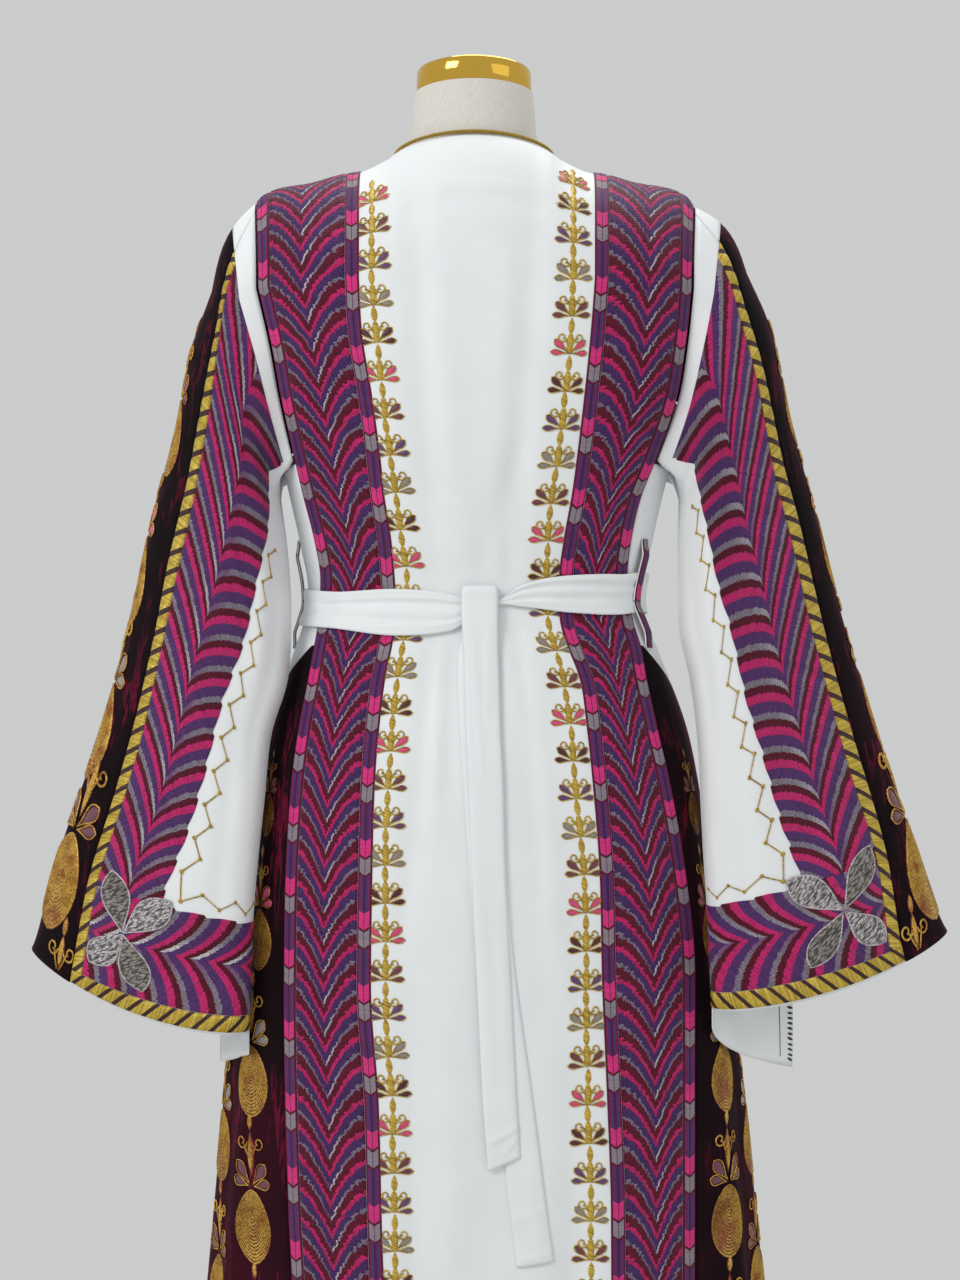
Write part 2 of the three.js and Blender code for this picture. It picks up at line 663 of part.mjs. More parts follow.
/** The u of one of the sleeve's seams at a row. */
function seamU(name, seam, row) {
  const share = look(SLEEVES[name], seam, Math.max(row, 1));
  return acrossU(THREE.MathUtils.lerp(SEAM_AT_ARMHOLE[seam], share, Math.min(row, 1)));
}

const SLEEVE_ROWS = [0, 0.5, 1, 2, 3, 4, 5, 6, 7, CUFF_ROW, HEM_TRIM_ROW, HEM_ROW];

/** Draws the lowest and the highest row of a grid in, where they meet another piece. */
function shortened({ points, normals }, low, high) {
  const n = points.length - 1;
  const draw = (row, next) => row.forEach((p, j) => p.lerp(next[j], SEAM / p.distanceTo(next[j])));
  if (low) draw(points[0], points[1]);
  if (high) draw(points[n], points[n - 1]);
  return { points, normals };
}

function addSleeve(name) {
  const columnsAt = (row) => {
    const [band, trimIn, trimOut] = ["band", "trimIn", "trimOut"].map((seam) => seamU(name, seam, row));
    const within = [1 / 3, 2 / 3].map((k) => THREE.MathUtils.lerp(band, trimIn, k));
    return [0, band / 2, band, ...within, trimIn, trimOut];
  };
  const count = columnsAt(0).length;
  const back = drawnIn(sleeveGrid(name, SLEEVE_ROWS, columnsAt), SEAM);
  add("sleeve_back_" + name, cloth(back, CREPE), WHITE, 0.6);

  const indexOf = (row) => SLEEVE_ROWS.length - 1 - SLEEVE_ROWS.indexOf(row);
  /** A piece laid on the back between two rows and two columns, counted from the body edge. */
  const laid = (kind, [low, high], [from, to], color) => {
    const columns = name === "left" ? [count - 1 - to, count - 1 - from] : [from, to];
    const cut = drawnIn(cutOf(back, [indexOf(low), indexOf(high)], columns), SEAM);
    const piece = shortened(cut, low !== HEM_ROW, high !== 0);
    add(kind + name, cloth(piece, APPLIED, LAID + APPLIED), color, 0.5);
  };
  laid("sleeve_band_", [CUFF_ROW, 0], [2, 5], FEATHER);
  laid("cuff_band_", [HEM_TRIM_ROW, CUFF_ROW], [0, 5], FEATHER);
  laid("sleeve_trim_", [HEM_TRIM_ROW, 0], [5, 6], GOLD);
  laid("cuff_trim_", [HEM_ROW, HEM_TRIM_ROW], [0, 6], GOLD);

  const underU = 1 - acrossU(UNDER_SLEEVE[name]);
  const velvetColumns = 8;
  const velvet = sleeveGrid(name, SLEEVE_ROWS, (row) =>
    Array.from({ length: velvetColumns + 1 }, (_, k) =>
      THREE.MathUtils.lerp(seamU(name, "trimOut", row), underU, k / velvetColumns),
    ),
  );
  add("sleeve_front_" + name, cloth(drawnIn(velvet, UNDER_SEAM), VELVET), DARK_VELVET, 0.85);

  const under = sleeveGrid(name, SLEEVE_ROWS, () => [underU, (underU + 1) / 2, 1]);
  under.normals.unshift(under.normals[0]);
  under.points.unshift(
    under.points[0].map((p, j) => {
      const fromBody = name === "left" ? j / 2 : 1 - j / 2;
      return p.clone().setZ(p.z - look(FLAP[name], "drop", fromBody));
    }),
  );
  add("sleeve_under_" + name, cloth(drawnIn(under, UNDER_SEAM), CREPE), WHITE, 0.6);
}

// ---- neck cord, belt, loops ----
/** A closed ring of a round cord through points. */
function ringCord(points, radius, sides) {
  const n = points.length;
  const vertices = [];
  points.forEach((p, i) => {
    const along = points[(i + 1) % n].clone().sub(points[(i + n - 1) % n]).normalize();
    const out = new THREE.Vector3(p.x, p.y, 0).normalize();
    const up = new THREE.Vector3().crossVectors(out, along).normalize();
    out.crossVectors(along, up).normalize();
    for (let k = 0; k < sides; k++) {
      const angle = (2 * Math.PI * k) / sides;
      const [a, b] = [radius * Math.cos(angle), radius * Math.sin(angle)];
      vertices.push(...p.clone().addScaledVector(out, a).addScaledVector(up, b).toArray());
    }
  });
  const faces = [];
  for (let i = 0; i < n; i++) {
    for (let k = 0; k < sides; k++) {
      const [j, m] = [(i + 1) % n, (k + 1) % sides];
      const [a, b, c, d] = [i * sides + k, i * sides + m, j * sides + m, j * sides + k];
      faces.push(a, c, b, a, d, c);
    }
  }
  const geometry = new THREE.BufferGeometry();
  geometry.setAttribute("position", new THREE.Float32BufferAttribute(vertices, 3));
  geometry.setIndex(faces);
  return geometry;
}

function addNeckCord() {
  const count = 48;
  const points = Array.from({ length: count }, (_, i) => {
    const angle = (2 * Math.PI * i) / count;
    const x = (NECK_WIDTH - 0.01) * Math.sin(angle); // just inside the last point of the neckline
    const p = topPoint(x, Math.cos(angle) < 0);
    p.z += CORD.lift;
    return p;
  });
  add("neck_cord", ringCord(points, CORD.radius, 6), GOLD, 0.4, 0.6);
}

/** The turns of the columns that the belt shares with the panels under it. */
function beltTurns() {
  const z = 1055; // the narrowest row of the waist
  const back = backColumns(z).map((x) => turnOf(x, z));
  const beside = [0.25, 0.5, 0.75, 1];
  const right = beside.map((k) => THREE.MathUtils.lerp(back[back.length - 1], SIDE_SEAM, k));
  const left = beside.map((k) => THREE.MathUtils.lerp(back[0], -SIDE_SEAM, k));
  const front = [1, 2, 3, 4, 5, 6].map((k) => SIDE_SEAM + ((180 - SIDE_SEAM) * k) / 6);
  const all = [...back, ...right, ...left, ...front, ...front.slice(0, -1).map((t) => -t)];
  const knot = [KNOT.left + KNOT.cover, KNOT.right - KNOT.cover].map((x) => turnOf(x, z));
  return all.filter((t) => t < knot[0] - 1 || t > knot[1] + 1).concat(knot).sort((a, b) => a - b);
}

function addBelt() {
  const turns = beltTurns();
  const start = turns.findIndex((t) => t > 0);
  const before = turns.slice(0, start).map((t) => t + 360);
  const order = [...turns.slice(start), ...before]; // from the knot's right, round the front, to its left
  const turnsAndHeights = [-0.5, 0, 0.5].map((h) =>
    order.map((t) => {
      const turn = t > 180 ? t - 360 : t;
      return [turn, look(BELT_ROUTE, "middle", turn) + h * look(BELT_ROUTE, "width", turn)];
    }),
  );
  const grid = {
    points: turnsAndHeights.map((row) => row.map(([turn, z]) => bodyPoint(turn, z))),
    normals: turnsAndHeights.map((row) => row.map(([turn, z]) => bodyNormal(turn, z).setZ(0).normalize())),
  };
  add("belt_wrap", cloth(grid, BELT, BELT_OFFSET + BELT), WHITE, 0.55);

  const sheet = (name, rows, thickness) => {
    const cut = [...rows].reverse().map(({ z, left, right, off }) =>
      [0, 0.5, 1].map((k) => {
        const p = bodyPoint(turnOf(THREE.MathUtils.lerp(left, right, k), z), z);
        p.y -= off + thickness;
        return p;
      }),
    );
    const backwards = cut.map((row) => row.map((p) => p.clone().setY(p.y + thickness)));
    add(name, wallBetween(cut, backwards), WHITE, 0.55);
  };
  sheet("belt_tail_front", TAIL_FRONT, BELT);
  sheet("belt_tail_back", TAIL_BACK, BELT);

  const { left, right, top, bottom, off, swell, wall } = KNOT;
  const knot = [0, 0.25, 0.5, 0.75, 1].map((k) => ({
    z: THREE.MathUtils.lerp(top, bottom, k),
    left,
    right,
    off: off + swell * Math.sin(Math.PI * k),
  }));
  sheet("belt_knot", knot, wall);
}

function addLoops() {
  const { width, low, high, lifted, sewn, ramp } = LOOP;
  for (const [name, turn] of Object.entries(LOOP_TURNS)) {
    const heights = [low, low + ramp, (low + high) / 2, high - ramp, high];
    const half = THREE.MathUtils.radToDeg(width / 2 / LOOP_RADIUS);
    const grid = bodyGrid(heights, () => [turn - half, turn, turn + half]);
    const off = (i) => (i === 0 || i === heights.length - 1 ? sewn : lifted) + APPLIED;
    add("belt_loop_" + name, cloth(grid, APPLIED, off), FEATHER, 0.6);
  }
}

addForm();
addBack();
addSides();
addFront();
for (const name of ["left", "right"]) addSleeve(name);
addNeckCord();
addBelt();
addLoops();

export default part;
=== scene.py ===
import bpy
import math
import numpy as np
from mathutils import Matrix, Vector


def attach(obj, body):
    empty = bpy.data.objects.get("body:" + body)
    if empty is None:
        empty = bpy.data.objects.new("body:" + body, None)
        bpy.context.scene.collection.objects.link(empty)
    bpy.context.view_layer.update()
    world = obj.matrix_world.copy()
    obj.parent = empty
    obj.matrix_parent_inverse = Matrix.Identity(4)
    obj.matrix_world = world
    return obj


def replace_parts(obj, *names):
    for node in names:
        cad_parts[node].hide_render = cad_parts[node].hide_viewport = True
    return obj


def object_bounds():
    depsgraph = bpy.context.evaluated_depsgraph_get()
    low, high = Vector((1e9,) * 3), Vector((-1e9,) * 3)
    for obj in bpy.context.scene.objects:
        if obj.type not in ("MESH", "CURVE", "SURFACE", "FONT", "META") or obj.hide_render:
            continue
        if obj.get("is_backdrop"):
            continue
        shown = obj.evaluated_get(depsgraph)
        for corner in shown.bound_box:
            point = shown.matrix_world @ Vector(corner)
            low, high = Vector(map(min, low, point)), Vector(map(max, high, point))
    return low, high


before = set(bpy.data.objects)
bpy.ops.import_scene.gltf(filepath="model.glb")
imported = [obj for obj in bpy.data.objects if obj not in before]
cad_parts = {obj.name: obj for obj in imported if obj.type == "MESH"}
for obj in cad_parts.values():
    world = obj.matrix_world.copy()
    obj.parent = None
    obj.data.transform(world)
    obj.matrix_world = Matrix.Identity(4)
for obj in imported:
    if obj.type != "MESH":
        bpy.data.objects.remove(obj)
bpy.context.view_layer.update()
bpy.context.scene.view_settings.view_transform = "Standard"


# ---- Stand and neck cap -------------------------------------------------------------------------
# A round steel base and a steel tube carry the form; a polished gold-coloured metal cap closes its
# neck. All three are turned shapes, screwed together.
BASE = [(0, 0), (152, 0), (158, 1), (160, 3.5), (158, 5.5), (154, 6.6), (40, 7), (24, 7), (0, 7)]
POLE = [(0, 7.3), (22, 7.3), (22, 18), (19, 22), (16, 24), (16, 770), (19, 775), (19, 799), (0, 799)]
CAP = [(0, 1532.3), (52.5, 1532.3), (54, 1533.5), (54, 1552), (53, 1554), (50.5, 1555), (0, 1555)]


def srgb(code):
    """The linear colour of an sRGB hex code, with alpha."""
    c = np.array([int(code[i:i + 2], 16) for i in (0, 2, 4)]) / 255
    return (*np.where(c < 0.04045, c / 12.92, ((c + 0.055) / 1.055) ** 2.4), 1.0)


class Shader:
    """Writes the node tree of one material."""

    def __init__(self, name, **sockets):
        self.material = bpy.data.materials.new(name)
        self.material.use_nodes = True
        self.nodes, self.links = self.material.node_tree.nodes, self.material.node_tree.links
        self.main = next(n for n in self.nodes if n.type == "BSDF_PRINCIPLED")
        for key, value in sockets.items():
            self.set(key, value)

    def set(self, key, value):
        socket = self.main.inputs[key.replace("_", " ")]
        if isinstance(value, bpy.types.NodeSocket):
            self.links.new(value, socket)
        else:
            socket.default_value = value

    def node(self, kind, values=(), **settings):
        n = self.nodes.new("ShaderNode" + kind)
        for key, value in settings.items():
            setattr(n, key, value)
        for key, value in dict(values).items():
            if isinstance(value, bpy.types.NodeSocket):
                self.links.new(value, n.inputs[key])
            else:
                n.inputs[key].default_value = value
        return n

    def math(self, operation, a, b=0.0):
        return self.node("Math", {0: a, 1: b}, operation=operation).outputs[0]

    def flat(self):
        """The two flat coordinates of the cloth."""
        n = self.node("SeparateXYZ", {0: self.node("UVMap", uv_map="flat").outputs[0]})
        return n.outputs[0], n.outputs[1]

    def vector(self, x, y, z=0.0):
        return self.node("CombineXYZ", {0: x, 1: y, 2: z}).outputs[0]

    def place(self):
        return self.node("TexCoord").outputs["Object"]

    def noise(self, vector, scale, detail=2.0, rough=0.5):
        values = {"Vector": vector, "Scale": scale, "Detail": detail, "Roughness": rough}
        return self.node("TexNoise", values).outputs["Fac"]

    def ramp(self, factor, stops, kind="LINEAR"):
        n = self.node("ValToRGB", {0: factor})
        n.color_ramp.interpolation = kind
        while len(n.color_ramp.elements) < len(stops):
            n.color_ramp.elements.new(1.0)
        for element, (place, color) in zip(n.color_ramp.elements, stops):
            element.position, element.color = place, color
        return n.outputs[0]

    def mix(self, factor, a, b, blend="MIX"):
        values = {0: factor, 6: a, 7: b}
        return self.node("Mix", values, data_type="RGBA", blend_type=blend).outputs[2]

    def bump(self, height, distance, strength=1.0, normal=None):
        values = {"Height": height, "Distance": distance, "Strength": strength}
        if normal is not None:
            values["Normal"] = normal
        out = self.node("Bump", values).outputs[0]
        self.set("Normal", out)
        return out


def set_uv(mesh, name, pairs):
    """Writes a pair of values for each point to the corners of a UV map."""
    corner = np.zeros(len(mesh.loops), np.int32)
    mesh.loops.foreach_get("vertex_index", corner)
    layer = mesh.uv_layers.get(name) or mesh.uv_layers.new(name=name)
    layer.data.foreach_set("uv", np.asarray(pairs, np.float32)[corner].ravel())


def shown(name, mesh):
    """The piece of a finished mesh: it rides with the form."""
    mesh.polygons.foreach_set("use_smooth", [True] * len(mesh.polygons))
    obj = bpy.data.objects.new(name, mesh)
    bpy.context.scene.collection.objects.link(obj)
    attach(obj, "root")
    return obj


def piece(name, points, faces, material, slot, flat=None):
    """A shown piece from points in mm, with the flat coordinates of its cloth in metres."""
    mesh = bpy.data.meshes.new(name)
    faces = faces.tolist() if isinstance(faces, np.ndarray) else faces
    mesh.from_pydata((np.asarray(points) * 0.001).tolist(), [], faces)
    if flat is not None:
        set_uv(mesh, "flat", flat)
    mesh.materials.append(material)
    return shown(name, mesh)


def turned(profile, around):
    """A solid turned about the pole from (radius, height) pairs, the first and last on its axis."""
    angle = np.linspace(0, 2 * np.pi, around, endpoint=False)
    points = [(0, 0, profile[0][1])]
    for r, z in profile[1:-1]:
        points += [(r * math.cos(a), r * math.sin(a), z) for a in angle]
    points.append((0, 0, profile[-1][1]))
    faces, last = [], len(points) - 1
    for k in range(around):
        m = (k + 1) % around
        faces.append((0, 1 + m, 1 + k))
        for i in range(len(profile) - 3):
            a, b = 1 + i * around, 1 + (i + 1) * around
            faces.append((a + k, a + m, b + m, b + k))
        a = 1 + (len(profile) - 3) * around
        faces.append((a + k, a + m, last))
    return points, faces


steel = Shader("brushed_steel", Metallic=1.0, Roughness=0.32, Base_Color=srgb("b9bcc0"))
brushed = steel.noise(steel.node("Mapping", {0: steel.place(), 3: (40, 40, 900)}).outputs[0], 1, 2)
steel.bump(brushed, 0.0001, 0.3)
brass = Shader("polished_gold", Metallic=1.0, Roughness=0.09, Base_Color=srgb("e2b64c"))
brass.bump(brass.noise(brass.place(), 35, 1), 0.0006, 0.25)
for node, profile, around, material, slot in [
        ("form_base", BASE, 128, steel.material, "steel"),
        ("form_pole", POLE, 48, steel.material, "steel"),
        ("form_neck_cap", CAP, 128, brass.material, "gold_metal")]:
    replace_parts(piece(node + "_turned", *turned(profile, around), material, slot), node)


# ---- Torso of the form --------------------------------------------------------------------------
# A limbless padded torso with a tight natural linen cover, sewn from panels whose seams run down
# the centre back, the centre front and the sides.
TORSO_FOOT, TORSO_NECK, TORSO_TOP = 800, 1438, 1532
SEAM_WIDTH, SEAM_DEPTH = 1.2, 0.008
TORSO = "z half back front", [
    (800, 120, 72, 70), (806, 150, 92, 88), (830, 168, 104, 98), (880, 172, 105, 99),
    (940, 164, 97, 93), (985, 150, 88, 88), (1035, 133, 79, 84), (1075, 130, 79, 86),
    (1110, 136, 84, 92), (1150, 146, 90, 99), (1180, 154, 94, 103), (1240, 166, 98, 102),
    (1290, 176, 99, 96), (1340, 186, 95, 88), (1370, 190, 85, 78), (1395, 191, 70, 64),
    (1415, 189, 55, 52), (1430, 183, 42, 42), (1438, 172, 38, 39), (1444, 150, 39, 42),
    (1450, 122, 42, 40), (1456, 95, 46, 42), (1462, 76, 51, 44), (1470, 66, 56, 49),
    (1482, 61, 58.5, 55), (1500, 58.5, 58.5, 58), (1532, 56, 56, 56)]


def table(names, rows):
    """A table with named columns, as arrays."""
    return dict(zip(names.split(), np.array(rows, float).T))


def look(rows, column, at):
    """The value of a column where the first column equals at, on a smooth curve through the rows."""
    keys, values = rows[next(iter(rows))], rows[column]
    if keys[0] > keys[-1]:
        keys, values = keys[::-1], values[::-1]
    at = np.clip(np.asarray(at, float), keys[0], keys[-1])
    i = np.clip(np.searchsorted(keys, at, side="right") - 1, 0, len(keys) - 2)
    slope = np.diff(values) / np.diff(keys)
    ends = np.concatenate([slope[:1], (slope[1:] + slope[:-1]) / 2, slope[-1:]])
    ends[1:-1][slope[1:] * slope[:-1] <= 0] = 0
    span = keys[i + 1] - keys[i]
    t = (at - keys[i]) / span
    return (values[i] * (1 + 2 * t) * (1 - t) ** 2 + values[i + 1] * t * t * (3 - 2 * t)
            + span * (ends[i] * t * (1 - t) ** 2 - ends[i + 1] * t * t * (1 - t)))


def quads(rows, columns, start=0, turn=False):
    """The faces of a grid of points, row by row."""
    at = start + np.arange(rows * columns).reshape(rows, columns)
    ring = [at[:-1, :-1], at[:-1, 1:], at[1:, 1:], at[1:, :-1]]
    return np.stack(ring[::-1] if turn else ring, -1).reshape(-1, 4)


torso = table(*TORSO)
heights = np.unique(np.concatenate([np.arange(TORSO_FOOT, TORSO_NECK, 12),
                                    np.arange(TORSO_NECK, TORSO_TOP + 0.1, 3), [TORSO_TOP]]))
angle = np.linspace(0, 2 * np.pi, 121)[:, None]
half, back, front = (np.interp(heights, torso["z"], torso[c]) for c in ("half", "back", "front"))
groove = sum(np.exp(-((np.degrees(angle) - a) / SEAM_WIDTH) ** 2) for a in (0, 90, 180, 270, 360))
inset = 1 - SEAM_DEPTH * groove
points = np.stack([half * np.cos(angle) * inset,
                   np.where(np.sin(angle) < 0, back, front) * np.sin(angle) * inset,
                   heights + 0 * angle], -1)
linen = Shader("linen", Roughness=0.85, Sheen_Weight=0.15, Base_Color=srgb("e9e5dd"))
u, v = linen.flat()
threads = [linen.math("SINE", linen.math("MULTIPLY", w, 2 * math.pi / 0.0011)) for w in (u, v)]
weave = linen.math("MULTIPLY", threads[0], threads[1])
slub = linen.noise(linen.vector(linen.math("MULTIPLY", u, 6.0), v), 160, 3)
linen.bump(linen.math("ADD", weave, slub), 0.0002, 0.5)
linen.set("Base_Color", linen.ramp(slub, [(0.3, srgb("dcd6ca")), (0.7, srgb("efece6"))]))
n = points.shape
cover = np.concatenate([points.reshape(-1, 3), [(0, 0, TORSO_FOOT), (0, 0, TORSO_TOP)]])
faces = quads(n[0], n[1], turn=True).tolist()
for k in range(n[0] - 1):
    faces.append((k * n[1], (k + 1) * n[1], len(cover) - 2)[::-1])
    faces.append((k * n[1] + n[1] - 1, (k + 1) * n[1] + n[1] - 1, len(cover) - 1))
flat = np.concatenate([np.stack([angle * 0.12 + 0 * heights, heights * 0.001 + 0 * angle], -1)
                       .reshape(-1, 2), [(0, 0), (0, 0)]])
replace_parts(piece("form_cover", cover, faces, linen.material, "linen", flat), "form_torso")


# ---- The shape the dress hangs in ---------------------------------------------------------------
# Every panel of the dress lies on one surface: squarish sections by height, closed over the
# shoulders above the yoke, with soft folds in the skirt and creases pressed into the cloth.
HEM, YOKE, RISE, SQUARE, ARMPIT, SIDE_SEAM = 30, 1340, 100, 2.4, 1180, 105
# The neckline is an ellipse: half its width, its y behind and in front, its height at the sides,
# and how far its middle rises behind and in front.
NECK, NECK_BEHIND, NECK_BEFORE, NECK_HIGH, RISE_BEHIND, RISE_BEFORE = 74, -62, 70, 1473, 6, -32
BODY = table("z left right back front", [
    (30, 280, 302, 172, 172), (220, 262, 286, 158, 157), (420, 245, 266, 147, 143),
    (520, 237, 257, 141, 136), (620, 229, 247, 136, 130), (720, 218, 232, 131, 124),
    (820, 208, 219, 126, 118), (900, 199, 208, 119, 112), (940, 191, 199, 113, 108),
    (985, 177, 183, 105, 103), (1015, 167, 171, 100, 100), (1035, 160, 163, 96, 99),
    (1055, 155, 157, 93, 98), (1075, 156, 159, 94, 100), (1110, 163, 167, 99, 107),
    (1150, 172, 176, 104, 114), (1180, 179, 184, 107, 117), (1240, 196, 200, 110, 116),
    (1290, 208, 213, 112, 112), (1340, 218, 224, 110, 104)])
LINES = table("z left_outer left_inner right_inner right_outer left_chain right_chain", [
    (30, -158, -80, 122, 196, -66, 101), (220, -158, -77, 120, 195, -66, 101),
    (420, -158, -76, 119, 195, -66, 101), (520, -163, -79, 119, 196, -68, 101),
    (620, -167, -82, 116, 197, -70, 99), (720, -169, -89, 112, 198, -76, 98),
    (820, -168, -88, 110, 189, -76, 96), (900, -163, -86, 104, 175, -74, 88),
    (940, -158, -83, 100, 166, -71, 85), (985, -150, -78, 94, 157, -67, 79),
    (1015, -145, -72, 83, 152, -62, 71), (1035, -142, -69, 77, 146, -60, 66),
    (1055, -141, -69, 76, 143, -59, 65), (1075, -140, -70, 76, 140, -59, 64),
    (1110, -145, -73, 80, 143, -63, 65), (1150, -155, -79, 87, 152, -68, 69),
    (1180, -162, -82, 91, 164, -72, 74), (1240, -175, -90, 98, 185, -80, 81),
    (1290, -184, -98, 103, 193, -85, 85), (1340, -196, -101, 107, 198, -89, 88)])
SHOULDER = table("x z", [(74, 1473), (105, 1458), (120, 1455.5), (150, 1447.5),
                         (190, 1440), (200, 1434), (207, 1424), (216, 1411)])
FOLDS = table("turn width depth start", [
    (-168, 9, 9, 900), (-143, 9, 12, 960), (-118, 8, 10, 880), (-97, 7, 12, 960),
    (-78, 7, 10, 900), (-60, 6, 9, 960), (61, 6, 9, 960), (80, 7, 10, 900),
    (99, 7, 12, 960), (119, 8, 10, 880), (143, 9, 12, 940), (168, 9, 9, 900)])
# Creases run from one point to another on the back or the front (x and height); troughs are
# negative. Each swells in the middle of its length and dies out at both ends.
CREASES = table("face x1 z1 x2 z2 width depth", [
    (-1, -52, 1410, -33, 1075, 13, -3.2), (-1, -30, 1330, -18, 1100, 16, 1.8),
    (-1, 55, 1405, 33, 1080, 12, -3.0), (-1, 31, 1350, 20, 1090, 14, 1.6),
    (-1, -45, 1425, 40, 1422, 4, 1.1), (-1, -62, 1398, -10, 1412, 6, -1.3),
    (-1, 62, 1402, 22, 1414, 5, -1.2), (-1, -20, 1395, 30, 1388, 9, 0.9),
    (-1, -40, 1180, 12, 1085, 10, -1.6), (-1, 44, 1200, 8, 1090, 9, -1.7),
    (-1, -8, 1150, -3, 1075, 7, 1.3), (-1, 26, 1130, 34, 1072, 5, -1.4),
    (-1, -34, 1018, -60, 760, 11, -3.4), (-1, -28, 1015, -34, 860, 7, 2.4),
    (-1, -18, 1022, -24, 880, 8, -2.6), (-1, 38, 1025, 62, 800, 9, -3.6),
    (-1, 46, 1010, 78, 700, 10, 2.6), (-1, 30, 1020, 50, 900, 6, 2.2),
    (-1, -52, 700, -46, 180, 16, -4.0), (-1, -20, 800, -22, 90, 20, 2.6),
    (-1, 88, 640, 92, 120, 14, -3.2), (-1, 58, 560, 56, 60, 18, 2.6),
    (-1, 10, 420, 14, 40, 15, -2.4), (-1, -76, 420, -74, 60, 12, -2.2),
    (-1, -120, 1052, -172, 1020, 6, -2.0), (-1, 112, 1035, 150, 985, 7, -1.8),
    (-1, -130, 1092, -104, 1140, 6, -1.2), (-1, 128, 1090, 96, 1150, 6, -1.4),
    (-1, -186, 1230, -160, 1120, 9, -1.6), (-1, 190, 1240, 164, 1120, 9, -1.6),
    (1, -60, 1400, -40, 1090, 14, -3.0), (1, 58, 1395, 44, 1085, 13, -3.2),
    (1, -8, 1360, 2, 1120, 16, 1.8), (1, -110, 1260, -70, 1080, 11, -2.2),
    (1, 118, 1250, 74, 1085, 10, -2.0), (1, -44, 1020, -72, 640, 14, -3.6),
    (1, -22, 1015, -30, 720, 12, 2.6), (1, 34, 1022, 66, 600, 13, -3.8),
    (1, 60, 1010, 104, 760, 9, 2.4), (1, 4, 900, 8, 100, 18, 2.8),
    (1, -96, 980, -128, 500, 12, -3.0), (1, 120, 960, 150, 420, 13, -3.2),
    (1, -60, 560, -64, 60, 17, -3.4), (1, 70, 520, 76, 50, 16, -3.0)])


def turn_of(x, z):
    """Degrees round from the centre back at which the back has this x."""
    half = np.where(x < 0, look(BODY, "left", z), look(BODY, "right", z))
    share = np.clip(np.abs(x) / half, 0, 1)
    return np.sign(x) * np.degrees(np.arcsin(share ** (SQUARE / 2)))


def creased(rows, a, b, mask=1.0):
    """How far the creases of a table push a point with the coordinates a and b."""
    out = np.zeros(np.broadcast(a, b).shape)
    for face, a1, b1, a2, b2, width, depth in zip(*rows.values()):
        da, db = a2 - a1, b2 - b1
        t = np.clip(((a - a1) * da + (b - b1) * db) / (da * da + db * db), 0, 1)
        away = np.hypot(a - a1 - t * da, b - b1 - t * db) / width
        grow = np.sqrt(np.clip(np.sin(np.pi * (0.06 + 0.88 * t)), 0, 1))
        out += np.where(mask == face, depth * grow * np.exp(-away**2), 0)
    return out


def below_yoke(turn, z):
    """Points of the dress below the yoke."""
    t = np.radians(np.abs(turn))
    half = np.where(turn < 0, look(BODY, "left", z), look(BODY, "right", z))
    depth = np.where(np.cos(t) > 0, -look(BODY, "back", z), look(BODY, "front", z))
    x = np.where(turn < 0, -1, 1) * half * np.abs(np.sin(t)) ** (2 / SQUARE)
    y = depth * np.abs(np.cos(t)) ** (2 / SQUARE)
    out = 0
    for place, width, most, start in zip(*FOLDS.values()):
        grown = np.clip((start - z) / (start - HEM), 0, 1)
        out = out + most * grown * np.exp(-(((turn - place) / width) ** 2))
    reach = 1 + out / np.maximum(np.hypot(x, y), 1)
    return np.stack([x * reach, y * reach, z + 0 * x], -1)


def dress(turn, v):
    """Points of the dress at turn degrees round and height v; above the yoke rows bend inwards."""
    turn = (np.asarray(turn, float) + 180) % 360 - 180
    v = np.asarray(v, float) + 0 * turn
    p = below_yoke(turn, np.minimum(v, YOKE))
    front = np.abs(turn) > 90
    tx = p[..., 0] * 1.035
    near = np.clip(np.abs(tx) / NECK, 0, 1)
    arc = np.sqrt(1 - near**2)
    edge = np.where(front, NECK_BEFORE, NECK_BEHIND) * arc
    top = np.where(np.abs(tx) < NECK, NECK_HIGH + np.where(front, RISE_BEFORE, RISE_BEHIND) * arc**2,
                   look(SHOULDER, "z", np.abs(tx)))
    blend = np.clip((1 - near) / 0.2, 0, 1)
    steep = 1 + np.where(front, 0.2, 0.35) * blend * blend * (3 - 2 * blend)
    s = np.radians(np.clip((v - YOKE) / RISE, 0, 1) * 90)
    sin, cos = np.sin(s), np.maximum(np.cos(s), 0)
    over = np.stack([p[..., 0] + (tx - p[..., 0]) * sin**2,
                     edge + (p[..., 1] - edge) * cos**steep,
                     top - (top - p[..., 2]) * (1 - sin)], -1)
    p = np.where((v > YOKE)[..., None], over, p)
    push = 1.25 * creased(CREASES, p[..., 0], p[..., 2], np.where(front, 1, -1))
    push *= 1 - sin**8
    slope = np.hypot(cos, 0.15)
    p[..., 1] += np.where(front, 1, -1) * push * cos / slope
    p[..., 2] += push * sin * 0.5
    return p


